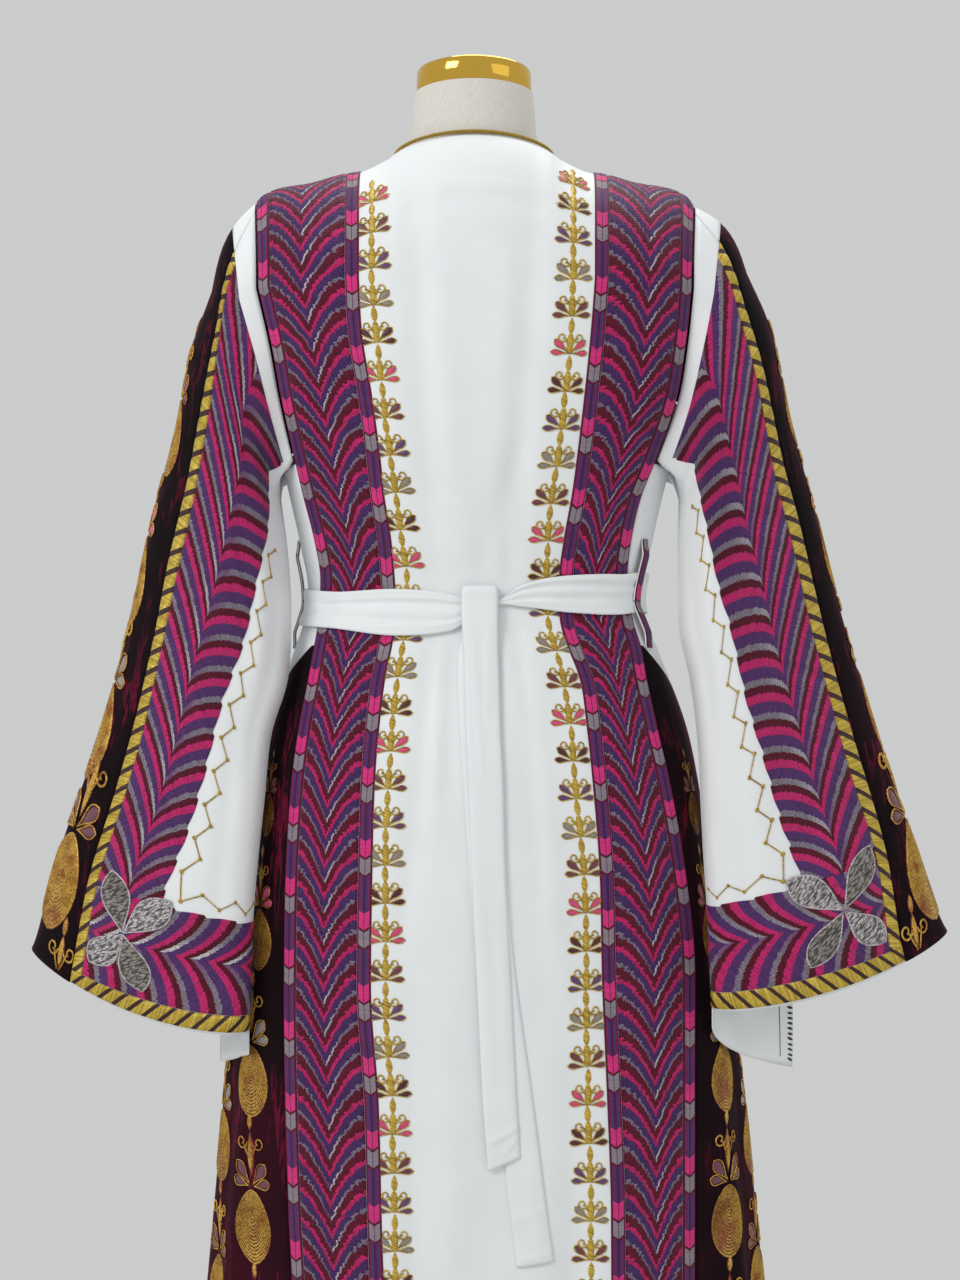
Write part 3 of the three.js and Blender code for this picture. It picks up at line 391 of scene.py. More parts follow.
class Lay:
    """A strip of a surface in flat measure: its width, and b mm down from its top.
    left and right give the first coordinate of its edges at the second one, from high to low.
    In an even one, shares of the width are measured along the cloth."""

    def __init__(self, surface, left, right, high, low, even=False, steps=500):
        self.surface, self.left, self.right, self.even = surface, left, right, even
        self.q = np.linspace(high, low, steps)
        middle = self.on(0.5, self.q)
        self.b = np.concatenate([[0], np.cumsum(np.linalg.norm(np.diff(middle, axis=0), axis=1))])
        across = np.stack([self.on(s, self.q) for s in np.linspace(0, 1, 41)], 1)
        gone = np.cumsum(np.linalg.norm(np.diff(across, axis=1), axis=2), axis=1)
        self.widths, self.length = gone[:, -1], self.b[-1]
        self.gone = np.concatenate([0 * gone[:, :1], gone], 1) / gone[:, -1:]

    def on(self, share, q):
        a, b = self.left(q), self.right(q)
        return self.surface(a + (b - a) * share, q)

    def at(self, share, b):
        b = np.asarray(b, float)
        if self.even:
            row = np.clip(np.round(np.interp(b, self.b, np.arange(len(self.b)))).astype(int), 0, None)
            share, row = np.broadcast_arrays(np.clip(share, 0, 1), row)
            gone = self.gone[row]
            k = np.clip((gone <= share[..., None]).sum(-1) - 1, 0, 39)
            low = np.take_along_axis(gone, k[..., None], -1)[..., 0]
            high = np.take_along_axis(gone, k[..., None] + 1, -1)[..., 0]
            share = (k + (share - low) / np.maximum(high - low, 1e-9)) / 40
        return self.on(share, np.interp(b, self.b, self.q))

    def width(self, b):
        return np.interp(b, self.b, self.widths)

    def down(self, q):
        """How far down the strip the surface's second coordinate is q."""
        order = np.argsort(self.q)
        return np.interp(q, self.q[order], self.b[order])

    def put(self, share, b, height=0.0):
        """Points at a share of the strip's width and b mm down, height mm out from the cloth."""
        share, b = np.broadcast_arrays(np.asarray(share, float), np.asarray(b, float))
        across = self.at(share + 0.004, b) - self.at(share - 0.004, b)
        low, high = np.maximum(b - 1.5, 0), np.minimum(b + 1.5, self.length)
        n = np.cross(self.at(share, high) - self.at(share, low), across)
        n /= np.maximum(np.linalg.norm(n, axis=-1, keepdims=True), 1e-9)
        return self.at(share, b) + n * np.broadcast_to(height, b.shape)[..., None]

    def grid(self, step, across=None):
        """Shares and b of an even grid over the strip."""
        columns = across or max(3, round(self.widths.max() / step) + 1)
        rows = round(self.length / step) + 1
        return np.meshgrid(np.linspace(0, 1, columns), np.linspace(0, self.length, rows))


def on_dress(left, right, high=YOKE + RISE, low=HEM):
    """The strip of the back between two lines given as x at a height."""
    def turned_line(line):
        return lambda v: turn_of(line(np.minimum(v, YOKE)), np.minimum(v, YOKE))
    return Lay(dress, turned_line(left), turned_line(right), high, low)


def line(name, shift=0.0):
    return lambda z: look(LINES, name, z) + shift


def sheet_faces(rows, columns):
    """The faces of a closed sheet of cloth: outer face, inner face and the edge between them."""
    count = rows * columns
    faces = [quads(rows, columns, turn=True), quads(rows, columns, count)]
    at = np.arange(count).reshape(rows, columns)
    for ring in (at[0], at[:, -1], at[-1, ::-1], at[::-1, 0]):
        faces.append(np.stack([ring[:-1], ring[1:], ring[1:] + count, ring[:-1] + count], -1))
    return np.concatenate(faces)


def cloth(name, lay, material, slot, step, wall, inset=0.3):
    """A panel of cloth over a strip, a closed sheet with a turned edge."""
    share, b = lay.grid(step)
    edge = np.maximum(lay.width(b), 20)
    share = np.clip(share, inset / edge, 1 - inset / edge)
    rim = (np.minimum(share, 1 - share) * edge < inset * 1.01)
    outer = lay.put(share, b, -0.35 * wall * rim)
    inner = lay.put(share, b, -wall + 0.35 * wall * rim)
    flat = np.stack([(share - 0.5) * lay.width(b) * 0.001, -b * 0.001], -1).reshape(-1, 2)
    points = np.concatenate([outer.reshape(-1, 3), inner.reshape(-1, 3)])
    return piece(name, points, sheet_faces(*share.shape), material, slot, np.tile(flat, (2, 1)))


# ---- Back panel ---------------------------------------------------------------------------------
# One long panel of white crepe from the neckline to the hem, seamed to the front at the shoulders
# and to the sides along the outer edge of each band; a little over one millimetre with its lining.
crepe = Shader("white_crepe", Roughness=0.52, Sheen_Weight=0.25, Sheen_Roughness=0.4,
               Sheen_Tint=(0.9, 0.94, 1.0, 1.0), Base_Color=srgb("eff1f3"))
u, v = crepe.flat()
grain = crepe.noise(crepe.vector(crepe.math("MULTIPLY", u, 2.0), v), 1300, 2, 0.6)
soft = crepe.noise(crepe.vector(u, crepe.math("MULTIPLY", v, 0.5)), 30, 2)
crepe.set("Base_Color", crepe.ramp(soft, [(0.3, srgb("eceff1")), (0.7, srgb("f1f3f4"))]))
crepe.bump(grain, 0.00014, 0.5, crepe.bump(soft, 0.0008, 0.25))

back = on_dress(line("left_outer"), line("right_outer"))
back_cloth = cloth("back_cloth", back, crepe.material, "crepe", 6.2, 1.3)
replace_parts(back_cloth, "back_panel")


# ---- Feather bands on the back ------------------------------------------------------------------
# Two bands embroidered all over in satin stitch, shoulder to hem, applied on the crepe: chevrons
# of pink, violet, grey and burgundy thread, each row standing up as a soft ridge.
# A feather pattern: mm between its chevrons, how far the left and right half of each droop, how
# their line bends (power and root), the width, slant and unevenness of the stitches, the half that
# gets a painted highlight near the tip (-1 left, 1 right) with how strong it is and its colour, and the grain
# of the thread.
FEATHER = {"pitch": 26.6, "drop": (38.0, 38.0), "power": 1.6, "root": 0.0, "stitch": 1.9, "slant": -14,
           "jag": 0.12, "painted_highlight": (1, 0.6, "e2dde4"), "grain": 1.25}
FEATHER_TONES = [(0.0, "ca2369"), (0.19, "4b2b64"), (0.53, "82758a"), (0.65, "640a28")]
FEATHER_FIRST = {"left": 93.0, "right": 99.0}


def feather_turn(share, b, feather):
    """The number of chevrons above a place at a share of the band's width and b mm down."""
    across = np.clip(np.abs(share - 0.5) * 2, 0, 1)
    most = np.where(share < 0.5, *feather["drop"])
    root = feather["root"]
    rest = (1 - root) * (1 - across) ** feather["power"] + root * (1 - np.sqrt(across))
    return (b - feather["first"] + most * (1 - rest)) / feather["pitch"]


def feather_shader(name, feather, tones):
    """Satin-stitched chevrons; flat coordinates are metres from the middle and metres down."""
    s = Shader(name, Roughness=0.5, Specular_IOR_Level=0.22, Sheen_Weight=0.05)
    x, y = s.flat()
    half = s.node("UVMap", uv_map="half").outputs[0]
    half = s.node("SeparateXYZ", {0: half}).outputs[0]
    m = s.math
    x, y = m("MULTIPLY", x, 1000.0), m("MULTIPLY", y, -1000.0)
    away = m("ABSOLUTE", x)
    slant, stitch = math.radians(feather["slant"]), feather["stitch"]
    q = m("ADD", m("MULTIPLY", y, math.cos(slant)), m("MULTIPLY", away, math.sin(slant)))
    place = m("ADD", m("DIVIDE", q, stitch), m("MULTIPLY", m("GREATER_THAN", x, 0.0), 0.5))
    number = m("FLOOR", place)
    snap = m("MULTIPLY", m("SUBTRACT", m("ADD", number, 0.5), place), stitch * 0.8)
    dice = s.node("TexWhiteNoise", {1: m("ADD", number, m("MULTIPLY", m("SIGN", x), 500.0))},
                  noise_dimensions="1D").outputs[0]
    y2 = m("ADD", y, m("MULTIPLY", snap, math.cos(slant)))
    away2 = m("ADD", away, m("MULTIPLY", snap, math.sin(slant)))
    share = m("MINIMUM", m("DIVIDE", away2, half), 1.0)
    right = m("GREATER_THAN", x, 0.0)
    share = m("MAXIMUM", share, 0.0)
    root, (low, high) = feather["root"], feather["drop"]
    rest = m("ADD", m("MULTIPLY", m("POWER", m("SUBTRACT", 1.0, share), feather["power"]), 1 - root),
             m("MULTIPLY", m("SUBTRACT", 1.0, m("SQRT", share)), root))
    most = m("ADD", m("MULTIPLY", right, high - low), low)
    fall = m("MULTIPLY", most, m("SUBTRACT", 1.0, rest))
    turn = m("DIVIDE", m("SUBTRACT", m("ADD", y2, fall), feather["first"]), feather["pitch"])
    turn = m("ADD", turn, m("MULTIPLY", m("SUBTRACT", dice, 0.5), feather["jag"]))
    phase = m("FRACT", turn)
    color = s.ramp(phase, [(p, srgb(c)) for p, c in tones], "CONSTANT")
    # Near the tip of each chevron the grey stripe gets a painted highlight on one half; on the other half it
    # turns violet.
    light = s.ramp(phase, [(0.0, (0, 0, 0, 1)), (tones[2][0], (1, 1, 1, 1)), (tones[3][0], (0, 0, 0, 1))],
                   "CONSTANT")
    highlight_side, strength, highlight_color = feather["painted_highlight"]
    near = m("MINIMUM", m("MAXIMUM", m("MULTIPLY", m("SUBTRACT", 0.42, share), 3.4), 0.0), 1.0)
    near = m("MULTIPLY", near, light)
    highlight_half = right if highlight_side > 0 else m("SUBTRACT", 1.0, right)
    color = s.mix(m("MULTIPLY", near, m("MULTIPLY", highlight_half, strength)), color, srgb(highlight_color))
    color = s.mix(m("MULTIPLY", near, m("MULTIPLY", m("SUBTRACT", 1.0, highlight_half), 0.6)), color, srgb("7c2f78"))
    along = m("MULTIPLY", m("SIGN", x), m("SUBTRACT", m("MULTIPLY", away, math.cos(slant)),
                                          m("MULTIPLY", y, math.sin(slant))))
    twist = m("SINE", m("ADD", m("MULTIPLY", along, 2.6), m("MULTIPLY", place, 2.1)))
    grain = s.noise(s.vector(m("MULTIPLY", along, 0.55), m("MULTIPLY", place, 1.0)), 1.0, 3, 0.7)
    shade = m("ADD", m("MULTIPLY", grain, feather["grain"]), m("MULTIPLY", dice, 0.3))
    shade = m("ADD", m("ADD", shade, m("MULTIPLY", twist, 0.16)), 0.86 - feather["grain"] / 2)
    color = s.mix(1.0, color, s.vector(shade, shade, shade), "MULTIPLY")
    tint = s.noise(s.vector(m("MULTIPLY", along, 0.9), place), 0.9, 2, 0.6)
    tint = s.ramp(tint, [(0.56, (0, 0, 0, 1)), (0.7, (0.5, 0.5, 0.5, 1))])
    s.set("Base_Color", s.mix(tint, color, srgb("201338")))
    crown = m("SINE", m("MULTIPLY", m("FRACT", place), math.pi))
    s.bump(m("ADD", crown, m("ADD", m("MULTIPLY", grain, 0.8), m("MULTIPLY", twist, 0.35))), 0.0008, 0.9)
    return s.material


def relief(name, lay, height, material, slot, step, lift=0.3, across=None, teeth=None):
    """An applied strip whose face stands height(share, b) mm up; its edges are turned down. teeth
    is the mm that its stitches stop short of its left and right edge, at b mm down."""
    share, b = lay.grid(step, across)
    rows, columns = share.shape
    left, right = teeth(b[:, 0]) if teeth else (0, 0)
    width = lay.width(b[:, 0])
    left, right = (0.1 + left) / width, (0.1 + right) / width
    share = left[:, None] + share * (1 - left - right)[:, None]
    up = lift + height(share, b)
    for edge in (np.s_[:, 0], np.s_[:, -1], np.s_[0, :], np.s_[-1, :]):
        up[edge] = lift * 0.5
    half = lay.width(b) / 2
    flat = np.stack([(share - 0.5) * 2 * half * 0.001, -b * 0.001], -1).reshape(-1, 2)
    obj = piece(name, lay.put(share, b, up).reshape(-1, 3), quads(rows, columns, turn=True),
                material, slot, flat)
    set_uv(obj.data, "half", np.stack([half.ravel(), half.ravel()], -1))
    return obj


def feather_height(feather, tones, base=0.55, ridge=0.75):
    """The relief of the chevrons: one ridge for each colour, parted by grooves."""
    stops = np.array([p for p, _ in tones] + [1.0])

    def height(share, b):
        across = np.abs(share - 0.5) * 2
        turn = feather_turn(share, b, feather) % 1
        k = np.searchsorted(stops, turn, side="right") - 1
        t = (turn - stops[k]) / (stops[np.minimum(k + 1, 4)] - stops[k])
        crown = np.sqrt(np.clip(1 - (2 * t - 1) ** 2, 0, 1)) * np.array([0.9, 1.0, 0.7, 0.85, 1])[k]
        return base + ridge * crown - 0.35 * np.exp(-((across / 0.05) ** 2))
    return height


bands = {"left": on_dress(line("left_outer", 12), line("left_inner", -13)),
         "right": on_dress(line("right_inner", 13), line("right_outer", -12))}
for side, lay in bands.items():
    feather = {**FEATHER, "first": FEATHER_FIRST[side]}
    thread = feather_shader(f"feather_thread_{side}", feather, FEATHER_TONES)
    band = relief(f"feather_band_{side}", lay, feather_height(feather, FEATHER_TONES), thread,
                  "feather_embroidery", 2.0)
    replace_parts(band, f"band_{side}")


# ---- Arrow borders ------------------------------------------------------------------------------
# Beside each band run two narrow borders in the same thread: a pink and a grey block with pointed
# ends, then long violet and burgundy stripes, framed by burgundy lines along both edges.
ARROWS = {"pitch": 63.0, "point": 4.5, "first": 40.0}

s = Shader("arrow_thread", Roughness=0.5, Specular_IOR_Level=0.22, Sheen_Weight=0.05)
m = s.math
x, y = s.flat()
half = s.node("SeparateXYZ", {0: s.node("UVMap", uv_map="half").outputs[0]}).outputs[0]
x, y = m("MULTIPLY", x, 1000.0), m("MULTIPLY", y, -1000.0)
share = m("DIVIDE", m("ABSOLUTE", x), half)
stitch = m("FRACT", m("DIVIDE", y, 0.9))
dice = s.node("TexWhiteNoise", {1: m("FLOOR", m("DIVIDE", y, 0.9))}, noise_dimensions="1D").outputs[0]
point = m("MULTIPLY", m("SUBTRACT", 1.0, share), ARROWS["point"])
turn = m("DIVIDE", m("SUBTRACT", m("SUBTRACT", y, point), ARROWS["first"]), ARROWS["pitch"])
phase = m("FRACT", m("ADD", turn, m("MULTIPLY", dice, 0.006)))
block = s.ramp(phase, [(0, srgb("dc3382")), (0.225, srgb("5a0c28")), (0.26, srgb("8f8590")),
                       (0.47, srgb("5a0c28")), (0.505, srgb("4a2e68"))], "CONSTANT")
lengthwise = s.ramp(share, [(0, srgb("4c0e38")), (0.16, srgb("4d3070")), (0.5, srgb("7a1f5c"))],
                    "CONSTANT")
blocks = s.ramp(phase, [(0, (0, 0, 0, 1)), (0.505, (1, 1, 1, 1)), (0.985, (0, 0, 0, 1))], "CONSTANT")
color = s.mix(blocks, block, lengthwise)
color = s.mix(m("GREATER_THAN", share, 0.74), color, srgb("5c0f2e"))
color = s.mix(m("LESS_THAN", m("MULTIPLY", share, half), 0.3), color, srgb("5c0f2e"))
grain = s.noise(s.vector(m("MULTIPLY", x, 0.4), m("MULTIPLY", y, 2.5)), 1.0, 2)
shade = m("ADD", m("MULTIPLY", grain, 0.5), m("ADD", m("MULTIPLY", dice, 0.2), 0.65))
s.set("Base_Color", s.mix(1.0, color, s.vector(shade, shade, shade), "MULTIPLY"))
s.bump(m("ADD", m("SINE", m("MULTIPLY", stitch, math.pi)), grain), 0.0004, 0.6)
arrow_thread = s.material


def arrow_height(share, b):
    across = np.abs(share - 0.5) * 2
    turn = (b - ARROWS["point"] * (1 - across) - ARROWS["first"]) / ARROWS["pitch"] % 1
    gap = sum(np.exp(-((turn - g) / 0.014) ** 2) for g in (0.0, 0.242, 0.487, 1.0))
    inner = np.sqrt(np.clip(1 - (across / 0.74) ** 2, 0, 1))
    rail = np.sqrt(np.clip(1 - ((across - 0.87) / 0.13) ** 2, 0, 1))
    return 0.4 + np.where(across < 0.74, 0.75 * inner * (1 - 0.6 * gap), 0.8 * rail)


for name, near, far in [("left_outer", 0.2, 12), ("left_inner", -13, -0.2),
                        ("right_inner", 0.2, 13), ("right_outer", -12, -0.2)]:
    lay = on_dress(line(name, near), line(name, far))
    border = relief(f"arrow_border_{name}", lay, arrow_height, arrow_thread, "arrow_border", 2.2,
                    across=13)
    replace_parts(border, f"border_{name}")


# ---- Palmette chains ----------------------------------------------------------------------------
# Beside each band a chain of gold palmettes is embroidered on the crepe: a bud, a long stem with
# two scrolls, and four petals in coloured thread that fan out from a knot, outlined in gold.
PALMETTE_PITCH = 33.2
PETAL_TONES = ["d8447c", "4a1026", "5f3a72", "8d8583", "6b3345"]
# Mm down to the first palmette of a chain, and the order of the threads of its petals.
PALMETTES = {"left": (104.0, [0, 4, 2, 3, 1]), "right": (81.5, [0, 1, 2, 3, 4])}


def leaf(length, width, crown, along=9, across=5, blunt=0.5, full=0.8):
    """A pad lying along +x from the origin; blunt moves its widest place outwards, and the smaller
    full is, the less pointed it is."""
    t = (1 - np.cos(np.linspace(0, np.pi, along)[:, None])) / 2
    s = np.linspace(-1, 1, across)
    shape = np.clip(np.sin(np.pi * t ** (math.log(0.5) / math.log(blunt))), 0, 1) ** full
    x = length * t + 0 * s
    y = s * width / 2 * shape
    z = crown * np.sqrt(np.clip(1 - s**2, 0, 1)) * np.clip(shape, 0.25, 1) + 0 * t
    return np.stack([x, y, z], -1).reshape(-1, 3), quads(along, across)


def rope(path, radius, sides=5, closed=False):
    """A round thread along a path."""
    path = np.asarray(path, float)
    n = len(path)
    along = (np.roll(path, -1, 0) - np.roll(path, 1, 0)) if closed else np.gradient(path, axis=0)
    along /= np.maximum(np.linalg.norm(along, axis=1, keepdims=True), 1e-9)
    side = np.cross(along, [0, 0, 1.0])
    side /= np.maximum(np.linalg.norm(side, axis=1, keepdims=True), 1e-9)
    up = np.cross(side, along)
    a = (2 * np.pi * np.arange(sides) / sides)[None, :, None]
    points = path[:, None] + radius * (np.cos(a) * side[:, None] + np.sin(a) * up[:, None])
    i, k = np.meshgrid(np.arange(n if closed else n - 1), np.arange(sides), indexing="ij")
    j, next_k = (i + 1) % n, (k + 1) % sides
    faces = np.stack([i * sides + k, i * sides + next_k, j * sides + next_k, j * sides + k], -1)
    faces = faces.reshape(-1, 4).tolist()
    if not closed:
        faces += [list(range(sides))[::-1], [(n - 1) * sides + k for k in range(sides)]]
    return points.reshape(-1, 3), faces


def moved(part, x=0.0, y=0.0, turn=0.0, mirror=False):
    """A copy turned by degrees, shifted, and mirrored in x if asked."""
    points, faces = np.array(part[0]), [list(f) for f in part[1]]
    cos, sin = math.cos(math.radians(turn)), math.sin(math.radians(turn))
    points = np.stack([points[:, 0] * cos - points[:, 1] * sin + x,
                       points[:, 0] * sin + points[:, 1] * cos + y, points[:, 2]], -1)
    if mirror:
        points[:, 0] *= -1
        faces = [f[::-1] for f in faces]
    return points, faces


def joined(parts):
    """One shape of several."""
    points, faces, start = [], [], 0
    for p, f in parts:
        points.append(np.asarray(p))
        faces += [[v + start for v in face] for face in f]
        start += len(p)
    return np.concatenate(points), faces


def chart(name, part):
    """A motif drawn flat, for instancing; it isn't shown itself."""
    mesh = bpy.data.meshes.new(name)
    mesh.from_pydata(part[0].tolist(), [], part[1])
    return bpy.data.objects.new(name, mesh)


def outline(length, width, blunt, count=11):
    """The path round a leaf of the same sizes."""
    t = np.linspace(0, 1, count)
    shape = np.sin(np.pi * t ** (math.log(0.5) / math.log(blunt))) ** 0.8 * width / 2
    ring = np.concatenate([np.stack([length * t, shape], -1), np.stack([length * t, -shape], -1)[-2:0:-1]])
    return np.concatenate([ring, np.full((len(ring), 1), 0.45)], -1)


def scroll(radius, turns=1.15, count=14, start=250):
    """A curl that opens outwards from its eye."""
    t = np.linspace(0, 1, count)
    a = np.radians(start) - 2 * np.pi * turns * t
    r = radius * (0.28 + 0.72 * t)
    return np.stack([r * np.cos(a), r * np.sin(a), 0.5 + 0 * t], -1)


def round_root(part_of, petals, away, height=0.0):
    """A part for each petal (length, width, degrees, blunt), away from the root that they share,
    and its mirror image."""
    return [moved(part_of(length, width, blunt), away * math.cos(math.radians(turn)),
                  height + away * math.sin(math.radians(turn)), turn, mirror=side)
            for length, width, turn, blunt in petals for side in (False, True)]


def both(part_of):
    """A part and its mirror image."""
    return [part_of(False), part_of(True)]


petals = [(17.6, 6.3, 41, 0.73), (15.6, 5.1, 4, 0.73)]
palmette_gold = joined(
    [moved(leaf(18.8, 6.2, 1.3, 9, 5, full=0.22), y=-0.6, turn=90),
     moved(leaf(15.2, 6.0, 1.2, 9, 5, 0.45), y=17.4, turn=90)]
    + round_root(lambda l, w, blunt: rope(outline(l, w, blunt), 0.5, 4, closed=True), petals, 1.2)
    + both(lambda side: moved(rope(scroll(4.6), 0.7, 4), 7.5, 14.6, 0, mirror=side))
    + both(lambda side: moved(rope([(0, 0, 0.5), (1.4, 2.6, 0.6), (1.9, 6.5, 0.5)], 0.7, 4), 1.6, 8.4, -14,
                              mirror=side)))
palmette_petals = joined(
    round_root(lambda l, w, blunt: leaf(l - 1.2, w - 0.7, 0.8, 8, 5, blunt), petals, 1.7))


def node_group(name, inputs):
    """A new Geometry Nodes group with named inputs, one output and these two nodes in it."""
    tree = bpy.data.node_groups.new(name, "GeometryNodeTree")
    tree.interface.new_socket("Geometry", in_out="OUTPUT", socket_type="NodeSocketGeometry")
    for label, kind in [("Geometry", "Geometry"), *inputs, ("Thread", "Material")]:
        tree.interface.new_socket(label, in_out="INPUT", socket_type="NodeSocket" + kind)
    return tree, tree.nodes.new("NodeGroupInput"), tree.nodes.new("NodeGroupOutput")


def marked_as(tree, name, kind="FLOAT"):
    """The output of a node that reads a value of each point."""
    node = tree.nodes.new("GeometryNodeInputNamedAttribute")
    node.data_type = kind
    node.inputs["Name"].default_value = name
    return node.outputs["Attribute"]


def end_group(tree, made, inside, outside):
    """Ends a group: what it made becomes plain mesh in the thread's material."""
    real = tree.nodes.new("GeometryNodeRealizeInstances")
    finish = tree.nodes.new("GeometryNodeSetMaterial")
    tree.links.new(made, real.inputs[0])
    tree.links.new(real.outputs[0], finish.inputs["Geometry"])
    tree.links.new(inside.outputs["Thread"], finish.inputs["Material"])
    tree.links.new(finish.outputs[0], outside.inputs[0])
    return tree


def repeat_tree():
    """Geometry Nodes: puts a motif on every point, turned and sized by the point's own values,
    with a little unevenness, and makes it one mesh."""
    tree, inside, outside = node_group("repeat_motif", [("Motif", "Object"), ("Unevenness", "Float"),
                                                        ("Seed", "Int")])
    new, link = tree.nodes.new, tree.links.new
    motif = new("GeometryNodeObjectInfo")
    link(inside.outputs["Motif"], motif.inputs["Object"])
    turned_by, sized_by = marked_as(tree, "turn"), marked_as(tree, "size")
    dice = new("FunctionNodeRandomValue")
    dice.data_type = "FLOAT"
    dice.inputs[2].default_value, dice.inputs[3].default_value = -1.0, 1.0
    link(inside.outputs["Seed"], dice.inputs["Seed"])
    uneven = new("ShaderNodeMath")
    uneven.operation = "MULTIPLY"
    link(dice.outputs[1], uneven.inputs[0])
    link(inside.outputs["Unevenness"], uneven.inputs[1])
    size = new("ShaderNodeMath")
    size.operation = "MULTIPLY_ADD"
    link(uneven.outputs[0], size.inputs[0])
    link(sized_by, size.inputs[1])
    link(sized_by, size.inputs[2])
    turn = new("ShaderNodeCombineXYZ")
    tilt = new("ShaderNodeMath")
    tilt.operation = "ADD"
    link(turned_by, tilt.inputs[0])
    link(uneven.outputs[0], tilt.inputs[1])
    link(tilt.outputs[0], turn.inputs[2])
    place = new("GeometryNodeInstanceOnPoints")
    link(inside.outputs["Geometry"], place.inputs["Points"])
    link(motif.outputs["Geometry"], place.inputs["Instance"])
    link(turn.outputs[0], place.inputs["Rotation"])
    link(size.outputs[0], place.inputs["Scale"])
    return end_group(tree, place.outputs[0], inside, outside)


repeat_motif = repeat_tree()


def grown(name, mesh, tree, values):
    """The plain mesh that a node group makes of a mesh, with its inputs given by name."""
    obj = bpy.data.objects.new(name + "_source", mesh)
    bpy.context.scene.collection.objects.link(obj)
    modifier = obj.modifiers.new("grow", "NODES")
    modifier.node_group = tree
    for item in tree.interface.items_tree:
        if item.in_out == "INPUT" and item.name in values:
            modifier[item.identifier] = values[item.name]
    obj.update_tag()
    bpy.context.view_layer.update()
    made = bpy.data.meshes.new_from_object(obj.evaluated_get(bpy.context.evaluated_depsgraph_get()))
    obj.modifiers.remove(modifier)
    bpy.data.objects.remove(obj)
    return made


def repeated(name, motif, spots, material, unevenness=0.02, seed=1):
    """The flat mesh of a motif repeated at spots, each (x, y, degrees, size, thread)."""
    spots = np.asarray(spots, float)
    mesh = bpy.data.meshes.new(name + "_spots")
    mesh.from_pydata([(x, y, 0) for x, y in spots[:, :2]], [], [])
    for key, values in (("turn", np.radians(spots[:, 2])), ("size", spots[:, 3]), ("thread", spots[:, 4])):
        mesh.attributes.new(key, "FLOAT", "POINT").data.foreach_set("value", values)
    return grown(name, mesh, repeat_motif,
                 {"Motif": motif, "Unevenness": unevenness, "Seed": seed, "Thread": material})


def laid(name, mesh, lay, material, origin=0.5, lift=0.0, wall=None):
    """A flat embroidery put on a strip: x mm from a share of its width, y mm up from its top. Given
    the cloth's wall, it lies on the other face."""
    co = np.zeros(len(mesh.vertices) * 3)
    mesh.vertices.foreach_get("co", co)
    x, y, z = co.reshape(-1, 3).T
    b = np.clip(-y, 0, lay.length)
    if wall:
        mesh.flip_normals()
    points = lay.put(origin + x / lay.width(b), b, -wall - z - lift if wall else z + lift)
    mesh.vertices.foreach_set("co", (points * 0.001).ravel())
    mesh.attributes.new("up", "FLOAT", "POINT").data.foreach_set("value", z)
    set_uv(mesh, "flat", np.stack([x, y], -1) * 0.001)
    mesh.materials.clear()
    mesh.materials.append(material)
    mesh.update()
    return shown(name, mesh)


def satin(name, color, dark, slant=25, pitch=0.75, **sockets):
    """Satin stitch in one thread, its lines slanting across the pad."""
    s = Shader(name, **sockets)
    x, y = s.flat()
    c, d = math.cos(math.radians(slant)), math.sin(math.radians(slant))
    q = s.math("ADD", s.math("MULTIPLY", x, 1000 * d / pitch), s.math("MULTIPLY", y, 1000 * c / pitch))
    dice = s.node("TexWhiteNoise", {1: s.math("FLOOR", q)}, noise_dimensions="1D").outputs[0]
    grain = s.noise(s.vector(x, y), 900, 2)
    tone = s.math("ADD", s.math("MULTIPLY", dice, 0.55), s.math("MULTIPLY", grain, 0.45))
    s.set("Base_Color", s.ramp(tone, [(0.2, srgb(dark)), (0.75, srgb(color))]))
    s.bump(s.math("ADD", s.math("SINE", s.math("MULTIPLY", s.math("FRACT", q), math.pi)), grain),
           0.0004, 0.7)
    return s


gold_thread = satin("gold_thread", "e3c252", "a8842a", Metallic=0.35, Roughness=0.36).material
s = Shader("petal_thread", Roughness=0.45, Sheen_Weight=0.3)
which = s.math("DIVIDE", s.node("Attribute", attribute_name="thread").outputs["Fac"], 5.0)
tones = [(k / 5 - 0.02 * (k > 0), srgb(c)) for k, c in enumerate(PETAL_TONES)]
grain = s.noise(s.place(), 900, 2)
shade = s.math("ADD", s.math("MULTIPLY", grain, 0.7), 0.65)
s.set("Base_Color", s.mix(1.0, s.ramp(which, tones, "CONSTANT"), s.vector(shade, shade, shade), "MULTIPLY"))
s.bump(grain, 0.0005, 0.7)
petal_thread = s.material

charts = {"gold": chart("palmette_gold", palmette_gold), "petals": chart("palmette_petals", palmette_petals)}
chains = {side: on_dress(line(side + "_chain", -18), line(side + "_chain", 18))
          for side in ("left", "right")}
for side, (first, cycle) in PALMETTES.items():
    lay = chains[side]
    count = int((lay.length - first - 2) / PALMETTE_PITCH)
    spots = [(0, -(first + k * PALMETTE_PITCH), 0, 1, cycle[k % 5]) for k in range(count + 1)]
    for kind, material, slot in [("gold", gold_thread, "gold_thread"),
                                 ("petals", petal_thread, "feather_embroidery")]:
        mesh = repeated(f"palmette_{kind}_{side}", charts[kind], spots, material, 0.03, 3)
        laid(f"palmette_{kind}_{side}", mesh, lay, material)


# ---- Side panels and gores ----------------------------------------------------------------------
# Under each arm a white crepe panel runs from the armhole down to a point at the hip; a gore of dark
# velvet starts beside the band at the waist and widens to the hem, with gold and crimson embroidery.
GORE_TOP, SIDE_POINT = 1015, 940
GORE = table("z share", [(30, 1), (930, 1), (940, 0.93), (985, 0.45), (1015, 0.04)])


def band_turn(sign, z):
    return np.abs(turn_of(look(LINES, "left_outer" if sign < 0 else "right_outer", z), z))


def gore_turn(sign, z):
    start = band_turn(sign, z)
    return start + (SIDE_SEAM - start) * look(GORE, "share", np.minimum(z, GORE_TOP))


